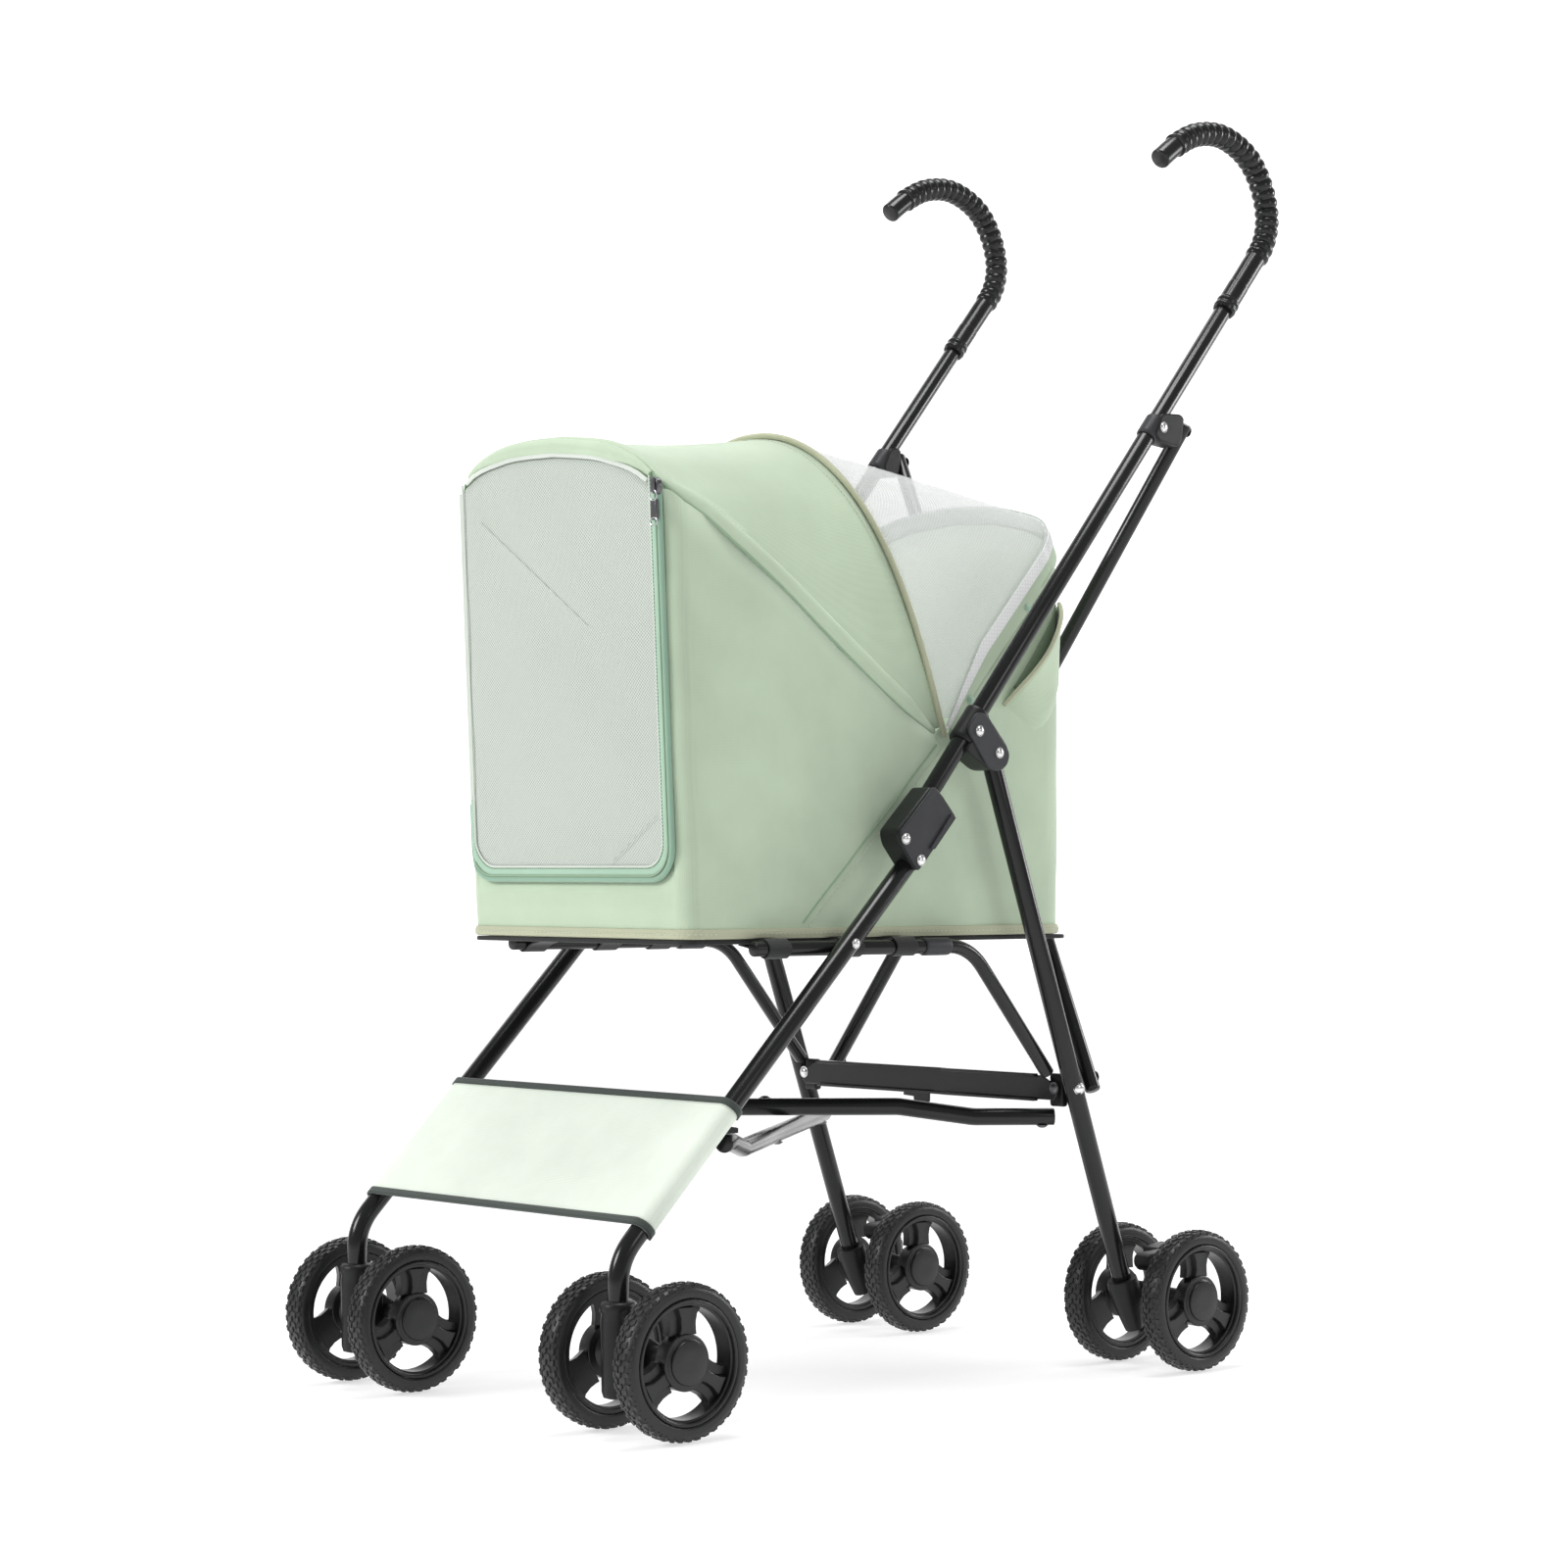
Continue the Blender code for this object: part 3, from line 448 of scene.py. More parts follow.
def turned(bm, profile, centre, axis="x", seg=48, ring=False):
    """Revolves (along, radius) points; a ring joins its last point to its first."""
    loops = []
    for a, r in profile:
        loops.append([bm.verts.new(centre + Vector((a, c, s) if axis == "x" else (c, s, a)))
                      for c, s in circle(seg, r, r)])
    if ring:
        for a, b in zip(loops, loops[1:] + loops[:1]):
            skin(bm, a, b)
    else:
        loft(bm, loops)


def prism(name, outline, span, mat, body, stands_for=(), edge=0.0012, segments=3):
    """A plate cut from a side outline between two x values, with rounded edges."""
    bm = bmesh.new()
    loft(bm, [[bm.verts.new(place(x, y, z)) for y, z in outline] for x in sorted(span)])
    return bevel(add(name, bm, mat, body, stands_for), edge, segments)


def smooth_outline(pts, radius=0.004, steps=4):
    """Rounds every corner of a closed side-view outline."""
    v = [Vector((p[0], p[1], 0)) for p in pts]
    n, out = len(v), []
    for i in range(n):
        a, b, c = v[i - 1], v[i], v[(i + 1) % n]
        u, w = (a - b), (c - b)
        cut = min(radius, u.length * 0.45, w.length * 0.45)
        p, q = b + u.normalized() * cut, b + w.normalized() * cut
        for k in range(steps + 1):
            t = k / steps
            m = p * (1 - t) ** 2 + b * 2 * t * (1 - t) + q * t * t
            out.append((m.x, m.y))
    return out


def rivet(bm, at, normal, r=0.0040):
    """A domed rivet head with a thin washer under it."""
    n = Vector(normal).normalized()
    t = n.orthogonal().normalized()
    s = n.cross(t)
    prof = [(0.0, r * 1.25), (0.0006, r * 1.25), (0.0006, r), (0.0012, r * 0.97), (0.0019, r * 0.75),
            (0.0023, r * 0.4), (0.0024, r * 0.08)]
    loft(bm, [[bm.verts.new(at + n * h + t * a + s * b) for a, b in circle(20, q, q)] for h, q in prof])


def stitches(bm, pts, normals, pitch=0.0042, long=0.0026, wide=0.0007, high=0.0005):
    """Small raised dashes along a line on a surface."""
    length = sum((b - a).length for a, b in zip(pts, pts[1:]))
    count = max(2, int(length / pitch))
    fine = evenly(pts, count * 2 + 1)
    for i in range(count):
        a, b = fine[2 * i], fine[2 * i + 1]
        k = min(len(normals) - 1, round((2 * i) / (2 * count) * (len(normals) - 1)))
        n = normals[k]
        d = (b - a)
        if d.length < 1e-9:
            continue
        d.normalize()
        n = (n - d * n.dot(d)).normalized()
        w = d.cross(n)
        c = (a + b) / 2
        low = [bm.verts.new(c + d * sx * long / 2 + w * sy * wide / 2 - n * 0.0002)
               for sx, sy in ((-1, -1), (1, -1), (1, 1), (-1, 1))]
        top = [bm.verts.new(c + d * sx * long * 0.32 + w * sy * wide * 0.3 + n * high)
               for sx, sy in ((-1, -1), (1, -1), (1, 1), (-1, 1))]
        loft(bm, [low, top])


# ---- frames: each function makes one sub-part of one side; s is 1 on the right and -1 on the left
SIDES = ((1, "right"), (-1, "left"))
HANDLE_LINE, HANDLE_ANGLE = (0.5335, 0.7630), 50.08
LEG_LINE, LEG_ANGLE = (0.1693, 0.3199), 44.9
REAR_LINE, REAR_ANGLE = (0.4345, 0.2752), 109.6
HOOK = [(0.6683, 0.9240), (0.6850, 0.9450), (0.6905, 0.9690), (0.6830, 0.9960),
        (0.6640, 1.0190), (0.6332, 1.0313), (0.6020, 1.0290), (0.5760, 1.0170), (0.5546, 1.0017)]
GRIP_START, GRIP_RINGS = line(HANDLE_LINE, HANDLE_ANGLE, 0.1563), 420
RIBS_START, RIBS_END, RIB_PITCH = 0.064, 0.024, 0.0083
LOCK = [(0.2436, 0.4393), (0.2464, 0.4292), (0.2646, 0.4077), (0.2720, 0.4150), (0.3052, 0.4511),
        (0.2910, 0.4675), (0.2804, 0.4750)]
BAR_TOP, BAR_FOOT, BAR_LAYER = (0.5740, 0.7773), (0.4775, 0.2337), 0.0070
LOW_FRONT, LOW_REAR, LOW_Z, LOW_REAR_Z = (0.155, 0.083), (0.1400, 0.452), (0.2170, 0.1965), 0.2083
LOW_STEP = 0.0090
BRACE_PIN, BRACE_H = (0.153, 0.2325), 0.0098
RAIL_X = 0.1495


def on_side(s, points, x=FRAME_X):
    """Side-view points on one side of the frame."""
    return [place(s * x, y, z) for y, z in points]


def tube(kind, tag, pts, r, body, seg=24, ref=(1, 0, 0)):
    """A painted round tube with softly rounded ends, in place of its CAD node."""
    u, w = (pts[1] - pts[0]).normalized(), (pts[-1] - pts[-2]).normalized()
    path = [pts[0], pts[0] + u * 0.0003, pts[0] + u * 0.0010, *pts[1:-1],
            pts[-1] - w * 0.0010, pts[-1] - w * 0.0003, pts[-1]]
    easing = [0.0010, 0.0003] + [0.0] * (len(path) - 4) + [0.0003, 0.0010]
    bm = bmesh.new()
    sweep(bm, path, [r - e for e in easing], seg, ref)
    return add(f"{kind}_look_{tag}", bm, "paint", body, f"{kind}_{tag}", 50)


def moulded(name, outline, radius, span, mat, body, edge, stands_for=()):
    """A black moulding cut from its side outline, with rounded corners; span is its two x values."""
    shape = smooth_outline(outline, radius) if radius else outline
    return prism(name, shape, span, mat, body, stands_for, edge)


def collar_sleeve(name, s, body, d0, d1, r, ease, mat):
    """A short sleeve round the handle tube, between two distances along it."""
    stops = (d0, d0 + 0.001, d0 + 0.003, d1 - 0.003, d1 - 0.001, d1)
    spots = [line(HANDLE_LINE, HANDLE_ANGLE, d) for d in stops]
    bm = bmesh.new()
    sweep(bm, on_side(s, spots), [r - ease, r, r, r, r, r - ease], 32)
    add(name, bm, mat, body, ())


def grip_radius(d, total):
    """Radius of the rubber grip at distance d from its lower end: a lipped cuff, rings, and a plain tip."""
    r = 0.0088
    if RIBS_START < d < total - RIBS_END:
        phase = ((d - RIBS_START) / RIB_PITCH) % 1.0
        r = 0.0086 + 0.0018 * max(0.0, math.sin(math.pi * phase)) ** 0.7
    if d < 0.012:
        r = 0.0096 - 0.0004 * math.cos(TAU * d / 0.006)
    elif d < 0.030:
        r = 0.0091
    if d > total - 0.0016:
        r -= 0.0012 * ((d - total + 0.0016) / 0.0016) ** 2
    return r


def handle(s, tag, body):
    """Straight tube, then the hook inside its ribbed grip."""
    ends = [line(HANDLE_LINE, HANDLE_ANGLE, d) for d in (-0.405, 0.170)]
    tube("handle_tube", tag, on_side(s, ends), HANDLE_R, body, 32)
    hook = spline(on_side(s, [line(HANDLE_LINE, HANDLE_ANGLE, 0.185), *HOOK]), 16)
    whole = evenly(on_side(s, [GRIP_START]) + hook, GRIP_RINGS)
    total = sum((b - a).length for a, b in zip(whole, whole[1:]))
    bm = bmesh.new()
    sweep(bm, whole, [grip_radius(i * total / (GRIP_RINGS - 1), total) for i in range(GRIP_RINGS)], 28)
    add("handle_grip_look_" + tag, bm, "grip", body, "handle_grip_" + tag, 60)


def brackets(s, tag, body):
    """Lock block, mid bracket and upper bracket, with their cheeks, sleeves and rivets."""
    x = s * FRAME_X
    moulded("lock_channel_" + tag, LOCK, 0.004, (x - 0.0115, x + 0.0105), "nylon", body, 0.0022,
            "lock_block_" + tag)
    cheek = [(0.2452, 0.4390), (0.2478, 0.4290), (0.2640, 0.4083), (0.2716, 0.4156), (0.3046, 0.4512),
             (0.2905, 0.4670), (0.2812, 0.4745)]
    moulded("lock_cheek_" + tag, cheek, 0.0025, (x + s * 0.0100, x + s * 0.0128), "nylon_painted_lit", body, 0.0010)
    rib = [(0.2755, 0.4262), (0.2800, 0.4252), (0.3030, 0.4500), (0.2990, 0.4532)]
    moulded("lock_rib_" + tag, rib, 0.001, (x + s * 0.0120, x + s * 0.0146), "nylon_painted_lit", body, 0.0009)
    saddle = [(0.3165, 0.5040), (0.3440, 0.4880), (0.3560, 0.4880), (0.3640, 0.4960), (0.3650, 0.5060),
              (0.3440, 0.5290)]
    moulded("mid_bracket_look_" + tag, saddle, 0.006, (x - 0.0112, x + 0.0112), "nylon", body, 0.0014,
            "mid_bracket_" + tag)
    cheek = [(0.3175, 0.5200), (0.3420, 0.4885), (0.3530, 0.4870), (0.3625, 0.4920), (0.3655, 0.5020),
             (0.3400, 0.5320), (0.3290, 0.5340)]
    moulded("mid_cheek_" + tag, cheek, 0.007, (x + s * 0.0095, x + s * 0.0122), "nylon_painted_lit", body, 0.0009)
    collar_sleeve("mid_saddle_" + tag, s, body, -0.3300, -0.2990, 0.0104, 0.0008, "nylon")
    back = BAR_TOP[0] + s * BAR_LAYER - X_BAR_R - 0.0006
    lug = [(0.5380, 0.7700), (0.5440, 0.7640), (back - 0.0070, 0.7615), (back - 0.0030, 0.7670),
           (back, 0.7860), (back - 0.0045, 0.7890), (0.5470, 0.7880)]
    moulded("upper_bracket_look_" + tag, lug, 0.004, (x - 0.0085, x + 0.0100), "nylon", body, 0.0014,
            "upper_bracket_" + tag)
    collar_sleeve("upper_saddle_" + tag, s, body, 0.006, 0.026, 0.0090, 0.0006, "nylon_painted_lit")

    bm = bmesh.new()
    for y, z, h in ((0.2507, 0.4334, 0.0126), (0.2668, 0.4168, 0.0126), (0.3313, 0.5187, 0.0120),
                    (0.3534, 0.5019, 0.0120), (0.5481, 0.7763, 0.0098)):
        rivet(bm, place(x + s * h, y, z), (s, 0, 0), 0.0036)
    y, z = line(LEG_LINE, LEG_ANGLE, 0.0470)
    rivet(bm, place(x + s * LEG_R, y, z), (s, 0, 0), 0.0032)
    y, z = line(REAR_LINE, REAR_ANGLE, -0.0450)
    rivet(bm, place(x + s * 0.0066, y - 0.001, z), (s, -0.35, 0), 0.0040)
    add("rivets_" + tag, bm, "rivet", body)


def legs(s, tag, body):
    """Front leg with its bend, rear leg, rear housing with its axle barrel, and joint block."""
    x = s * FRAME_X
    bend = [line(LEG_LINE, LEG_ANGLE, 0.1760), (SWIVEL_Y, 0.1278), (SWIVEL_Y, 0.0600)]
    tube("front_leg", tag, rounded(on_side(s, bend), 0.045, 16), LEG_R, body, 32)
    lug_z = (LOW_Z[0] if s < 0 else LOW_Z[1] + LOW_STEP) + LOW_BAR_R + 0.0012
    lug_y = LEG_LINE[0] + lug_z - LEG_LINE[1] + 0.005
    lug = [(lug_y - 0.004, lug_z), (0.0940, lug_z), (0.0940, lug_z + 0.004), (lug_y + 0.003, lug_z + 0.008)]
    moulded("front_lug_" + tag, lug, 0, (x - s * 0.0175, x - s * 0.0030), "nylon", body, 0.0008)

    ends = [line(REAR_LINE, REAR_ANGLE, d) for d in (-0.2300, 0.2450)]
    tube("rear_leg", tag, on_side(s, ends), LEG_R, body, 32)
    house = [(0.5130, 0.0440), (0.5190, 0.0400), (0.5400, 0.0480), (0.5555, 0.0500), (0.5590, 0.0575),
             (0.5555, 0.0655), (0.5400, 0.0690), (0.5180, 0.0730)]
    moulded("rear_housing_look_" + tag, house, 0.004, (x - 0.0085, x + 0.0085), "nylon", body, 0.0022,
            "rear_housing_" + tag)
    bm = bmesh.new()
    socket = evenly(on_side(s, [line(REAR_LINE, REAR_ANGLE, d) for d in (-0.2570, -0.2130)]), 9)
    sweep(bm, socket, [0.0074, 0.0086, 0.0096, 0.0105, 0.0113, 0.0120, 0.0125, 0.0129, 0.0122], 32)
    turned(bm, [(-0.0310, 0.0050), (-0.0305, 0.0075), (-0.0110, 0.0085), (0.0110, 0.0085), (0.0305, 0.0075),
                (0.0310, 0.0050)], place(x, REAR_AXLE_Y, WHEEL_R), seg=28)
    add("rear_collar_" + tag, bm, "nylon", body, ())
    block = [(0.4443, 0.2172), (0.4515, 0.2172), (0.4515, 0.2440), (0.4443, 0.2440)]
    moulded("joint_block_look_" + tag, block, 0.003, (s * 0.1420, s * 0.1562), "nylon", body, 0.0014,
            "joint_block_" + tag)


def seat_rail(s, tag, body):
    """Seat rail with its bent strut, and the coupler sleeve on it."""
    rail = on_side(s, ((0.1180, 0.3497), (0.3457, 0.3490), (0.4345, 0.2445)), RAIL_X)
    tube("seat_rail", tag, rounded(rail, 0.050, 16), RAIL_R, body)
    sleeve = on_side(s, [(y, 0.3491) for y in (0.2940, 0.2948, 0.2960, 0.3190, 0.3206, 0.3216)], RAIL_X)
    bm = bmesh.new()
    sweep(bm, sleeve, [0.0064, 0.0070, 0.0071, 0.0071, 0.0070, 0.0064], 24)
    add("rail_coupler_" + tag, bm, "nylon_painted_lit", body, ())


def rear_crossing_bar(s, tag):
    """One bar of the rear X, from the upper bracket to the far rear leg."""
    x, body = s * FRAME_X, "rear_x_bar_" + tag
    a = place(x, BAR_TOP[0] + s * BAR_LAYER, BAR_TOP[1])
    b = place(-x, BAR_FOOT[0] + s * BAR_LAYER, BAR_FOOT[1])
    u, out = (b - a).normalized(), Vector((0, 1, 0))
    tube("rear_x_bar", tag, [a - u * 0.006, a + u * 0.2, b - u * 0.2, b + u * 0.004], X_BAR_R, body, 28)
    bm = bmesh.new()
    rivet(bm, a + out * X_BAR_R * 0.97, out, 0.0042)
    rivet(bm, b + out * X_BAR_R * 0.97 - u * 0.008, out, 0.0040)
    rivet(bm, (a + b) / 2 + out * X_BAR_R * s, out * s, 0.0040)
    add("rear_x_pins_" + tag, bm, "gunmetal", body)


def lower_crossing_bar(s, tag):
    """One bar of the lower X, bent where it passes the other."""
    body, left = "lower_x_bar_" + tag, s < 0
    z = LOW_Z[0] if left else LOW_Z[1]
    front = place(s * LOW_FRONT[0], LOW_FRONT[1], z + (0 if left else LOW_STEP))
    rear = place(-s * LOW_REAR[0], LOW_REAR[1], LOW_REAR_Z if left else z)
    flat = Vector((rear.x - front.x, rear.y - front.y, 0)).normalized()
    start, end = (0.345, 0.066) if left else (0.030, 0.390)
    pts = rounded([front + flat * 0.0075, front + flat * start, rear - flat * end, rear], 0.05, 12)
    tube("lower_x_bar", tag, pts, LOW_BAR_R, body, 28, (0, 0, 1))
    bm = bmesh.new()
    rivet(bm, front + flat * 0.012 + Vector((0, 0, LOW_BAR_R * 0.96)), (0, 0, 1), 0.0036)
    rivet(bm, rear - flat * 0.010 - Vector((0, 0, LOW_BAR_R * 0.96)), (0, 0, -1), 0.0038)
    centre = front.lerp(rear, 0.5)
    centre.z = z
    rivet(bm, centre + Vector((0, 0, s * -LOW_BAR_R * 0.96)), (0, 0, -s), 0.0040)
    add("lower_x_pins_" + tag, bm, "gunmetal", body)


def brace_half(s, tag):
    """Half of the rear cross brace with its folded lips and pin; the left half carries the small pedal."""
    body, (px, pz) = "brace_half_" + tag, BRACE_PIN
    y0, y1 = (0.4385, 0.4405) if s > 0 else (0.4410, 0.4430)
    x1 = 0.012 if s > 0 else 0.035
    low, top = pz - BRACE_H, pz + BRACE_H
    shape = [(s * (px + 0.0025), pz - 0.006), (s * (px - 0.0015), low), (x1, low), (x1, top),
             (s * (px - 0.0140), top), (s * (px - 0.0015), pz + 0.0035), (s * (px + 0.0025), pz + 0.0010)]
    if s < 0:
        shape[2:3] = [(-0.0270, low), (-0.0275, 0.2185), (-0.0150, 0.2178), (-0.0145, 0.2125),
                      (0.0020, 0.2125), (0.0040, 0.2150), (0.0040, low), (x1, low)]
    bm = bmesh.new()
    loft(bm, [[bm.verts.new(place(a, y, b)) for a, b in shape] for y in (y0, y1)])
    bevel(add("brace_half_look_" + tag, bm, "paint", body, body), 0.0006)
    bm = bmesh.new()
    lip = 0.0014
    for z in (low, top):
        corners = [(y0 - 0.0034, z - lip), (y1, z - lip), (y1, z + lip), (y0 - 0.0034, z + lip)]
        loft(bm, [[bm.verts.new(place(a, y, b)) for y, b in corners]
                  for a in (s * (px - 0.020), x1 + s * 0.012)])
    bevel(add("brace_lips_" + tag, bm, "paint", body, ()), 0.0007)
    bm = bmesh.new()
    rivet(bm, place(s * px, y0, pz), (0, -1, 0), 0.0040)
    add("brace_pin_" + tag, bm, "rivet" if s < 0 else "gunmetal", body)


def caster(s, tag):
    """Collar and stem cup, axle barrel, arm and side fins."""
    x, body = s * FRAME_X, "caster_" + tag
    bm = bmesh.new()
    prof = [(0.0290, 0.0070), (0.0300, 0.0105), (0.0340, 0.0118), (0.0560, 0.0122), (0.0840, 0.0126),
            (0.0900, 0.0122), (0.0915, 0.0133), (0.0965, 0.0133), (0.0985, 0.0118), (0.0990, 0.0086)]
    turned(bm, prof, place(x, SWIVEL_Y, 0.0), "z", 40)
    turned(bm, [(-0.0310, 0.0050), (-0.0305, 0.0078), (-0.0130, 0.0086), (0.0130, 0.0086), (0.0305, 0.0078),
                (0.0310, 0.0050)], place(x, 0.0, WHEEL_R), seg=28)
    add("caster_cup_" + tag, bm, "nylon", body, "caster_housing_" + tag, 45)
    arm = [(-0.0260, 0.0310), (-0.0040, 0.0430), (0.0110, 0.0490), (0.0120, 0.0650), (0.0000, 0.0720),
           (-0.0120, 0.0810), (-0.0260, 0.0860)]
    moulded("caster_arm_" + tag, arm, 0.006, (x - 0.0085, x + 0.0085), "nylon", body, 0.0022)
    fin = [(-0.0225, 0.0330), (-0.0080, 0.0400), (-0.0080, 0.0800), (-0.0225, 0.0880)]
    for letter, mid in (("a", x - 0.0125), ("b", x + 0.0125)):
        moulded(f"caster_fin_{tag}_{letter}", fin, 0.003, (mid - 0.0015, mid + 0.0015), "nylon", body, 0.0008)


def brake(s, tag):
    """Brake lever with its pedal."""
    x, body = s * FRAME_X, "brake_" + tag
    lever = [(0.5280, 0.0840), (0.5340, 0.0785), (0.5450, 0.0800), (0.5720, 0.0905), (0.5790, 0.0960),
             (0.5770, 0.1000), (0.5560, 0.0945), (0.5330, 0.0935), (0.5285, 0.0905)]
    moulded("brake_lever_look_" + tag, lever, 0.003, (x - 0.0080, x + 0.0080), "nylon", body, 0.0012,
            "brake_lever_" + tag)
    pad = [(0.5580, 0.0885), (0.5740, 0.0930), (0.5805, 0.0985), (0.5570, 0.0955)]
    moulded("brake_pad_" + tag, pad, 0.002, (x - 0.0240, x + 0.0240), "nylon_painted_lit", body, 0.0012)


def steel_axles(tag):
    """The CAD's own axles stay, in a brushed steel finish."""
    for end in ("front", "rear"):
        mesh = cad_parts[f"{end}_axle_{tag}"].data
        mesh.materials.clear()
        mesh.materials.append(M["steel"])


# ---- wheels
def block(bm, c, ang, px, along, across, r0, r1, skew=0.0):
    """One tread knob at an angle round the tyre."""
    low, top = [], []
    for r, k, out in ((r0, 1.0, low), (r1, 0.72, top)):
        for sx, st in ((-1, -1), (1, -1), (1, 1), (-1, 1)):
            a = ang + (st * along / 2 * k + sx * skew) / r
            out.append(bm.verts.new(c + Vector((px + sx * across / 2 * k, r * math.cos(a), r * math.sin(a)))))
    loft(bm, [low, top])


def tyre_mesh():
    """Rounded tyre with five staggered rows of tread knobs."""
    bm = bmesh.new()
    h, o = WHEEL_HALF, Vector()
    prof = [(-h + 0.0012, 0.0462), (-h + 0.0002, 0.0475), (-h, 0.0505), (-h + 0.0006, 0.0532),
            (-h + 0.0026, 0.0553), (-h + 0.0060, 0.0562), (0.0, 0.0565), (h - 0.0060, 0.0562),
            (h - 0.0026, 0.0553), (h - 0.0006, 0.0532), (h, 0.0505), (h - 0.0002, 0.0475),
            (h - 0.0012, 0.0462)]
    turned(bm, prof, o, seg=96, ring=True)
    count = 42
    for k in range(count):
        a = TAU * k / count
        odd = k % 2
        block(bm, o, a, -0.0042 + 0.0006 * odd, 0.0052, 0.0036, 0.0554, 0.0571, 0.0008)
        block(bm, o, a + TAU / count / 2, 0.0, 0.0046, 0.0034, 0.0556, 0.0575, -0.0008)
        block(bm, o, a, 0.0042 - 0.0006 * odd, 0.0052, 0.0036, 0.0554, 0.0571, -0.0008)
        for sx in (-1, 1):
            block(bm, o, a + TAU / count / 2, sx * (0.0076 - 0.0004 * odd), 0.0052, 0.0034, 0.0540, 0.0562,
                  0.0006 * sx)
            block(bm, o, a, sx * 0.0090, 0.0034, 0.0018, 0.0525, 0.0545)
    return bm


def rim_mesh():
    """Flanged rim, three ribbed webs, hub and cap."""
    bm = bmesh.new()
    o, h = Vector(), WHEEL_HALF
    turned(bm, [(-h + 0.0012, 0.0424), (-h + 0.0012, 0.0457), (h - 0.0012, 0.0457), (h - 0.0002, 0.0450),
                (h - 0.0004, 0.0432), (h - 0.0020, 0.0424)], o, seg=96, ring=True)
    turned(bm, [(-h + 0.0022, 0.0404), (-h + 0.0022, 0.0428), (h - 0.0030, 0.0428), (h - 0.0034, 0.0408)], o,
           seg=96, ring=True)
    for k in range(3):
        mid = math.radians(90 + 120 * k)
        d, t = Vector((0, math.cos(mid), math.sin(mid))), Vector((0, -math.sin(mid), math.cos(mid)))
        # web and the rib on it: waisted in the middle, flared into the rim and the hub
        for x0, x1, draft, widths in (
            (-0.0045, 0.0022, 0.90, ((0.0190, 0.0142), (0.0225, 0.0136), (0.0280, 0.0134), (0.0340, 0.0148),
                                     (0.0385, 0.0188), (0.0408, 0.0240))),
            (0.0015, 0.0058, 0.72, ((0.0190, 0.0070), (0.0250, 0.0056), (0.0320, 0.0060), (0.0395, 0.0098))),
        ):
            edge = [(r, w) for r, w in widths] + [(r, -w) for r, w in reversed(widths)]
            loft(bm, [[bm.verts.new(d * r + t * w * taper + Vector((x, 0, 0))) for r, w in edge]
                      for x, taper in ((x0, 1.0), (x1, draft))])
    turned(bm, [(-h + 0.0005, 0.0080), (-h + 0.0005, 0.0110), (-0.0060, 0.0150), (-0.0050, 0.0205),
                (0.0062, 0.0207), (0.0072, 0.0200), (0.0072, 0.0172), (0.0080, 0.0166)], o, seg=64)
    turned(bm, [(0.0050, 0.0120), (0.0070, 0.0163), (0.0094, 0.0163), (0.0101, 0.0158), (0.0104, 0.0148),
                (0.0104, 0.0060)], o, seg=64)
    return bm


def wheels():
    """Eight wheels that share one tyre mesh and one rim mesh."""
    made = {}
    for kind, build in (("tyre", tyre_mesh), ("rim", rim_mesh)):
        made[kind] = smooth_mesh(kind + "_look", build(), kind, 32)
    for s, tag in SIDES:
        for end, y in (("front", 0.0), ("rear", REAR_AXLE_Y)):
            for where, d in (("outer", s), ("inner", -s)):
                name = f"{end}_{tag}_{where}"
                for kind, slot in (("tyre", "tyre_rubber"), ("rim", "wheel_black")):
                    ob = linked(f"{kind}_look_{name}", made[kind])
                    turn = Matrix.Rotation(0 if d > 0 else math.pi, 4, "Z")
                    ob.matrix_world = Matrix.Translation(place(s * FRAME_X + d * WHEEL_X, y, WHEEL_R)) @ turn
                    attach(ob, "wheel_" + name, f"{kind}_{name}")
                    if kind == "rim":
                        bevel(ob, 0.0005, 2, 40)


for s, tag in SIDES:
    for make in (handle, brackets, legs, seat_rail):
        make(s, tag, tag + "_frame")
    for make in (rear_crossing_bar, lower_crossing_bar, brace_half, caster, brake):
        make(s, tag)
    steel_axles(tag)
wheels()

# ---- cabin curves
# right halves, from the hood's pivot to the middle, as (x, y, z)
FRONT_BOW = [(0.135, 0.3305, 0.5120), (0.135, 0.2849, 0.5360), (0.135, 0.2187, 0.5822),
             (0.135, 0.1546, 0.6290), (0.1348, 0.0924, 0.6695), (0.1325, 0.0630, 0.6885),
             (0.1265, 0.0520, 0.6995), (0.1100, 0.0490, 0.7130), (0.0930, 0.0485, 0.7230),
             (0.0560, 0.0480, 0.7345), (0.0, 0.0475, 0.7400)]
REAR_RIM = [(0.135, 0.331, 0.515), (0.135, 0.3725, 0.565), (0.1345, 0.4338, 0.6330),
            (0.1290, 0.4620, 0.6620), (0.1150, 0.4730, 0.6800), (0.0900, 0.4760, 0.6920),
            (0.0500, 0.4765, 0.7010), (0.0, 0.4765, 0.7040)]
HALF = 41


def bow_half(reach=BOW_REACH, half=CABIN_X, count=40):
    out = []
    for i in range(count):
        t = math.pi / 2 * i / (count - 1)
        px = half * math.cos(t) ** (2 / 2.2) if i < count - 1 else 0.0
        y, z = line(PIVOT, BOW_ANGLE, reach * math.sin(t) ** (2 / 3))
        out.append(Vector((px, y, z)))
    return out


def mirrored(half, count, curve=True):
    """A right half as evenly spaced points, then its mirror image."""
    pts = [Vector(p) for p in half]
    if curve:
        pts = spline(pts, 10)
    right = evenly(pts, count)
    right[-1].x = 0.0
    return right + [Vector((-p.x, p.y, p.z)) for p in reversed(right[:-1])]


def centred(pts):
    """Points moved from the front axle's origin to the frame's."""
    return [p - Vector((0, CENTRE_Y, 0)) for p in pts]


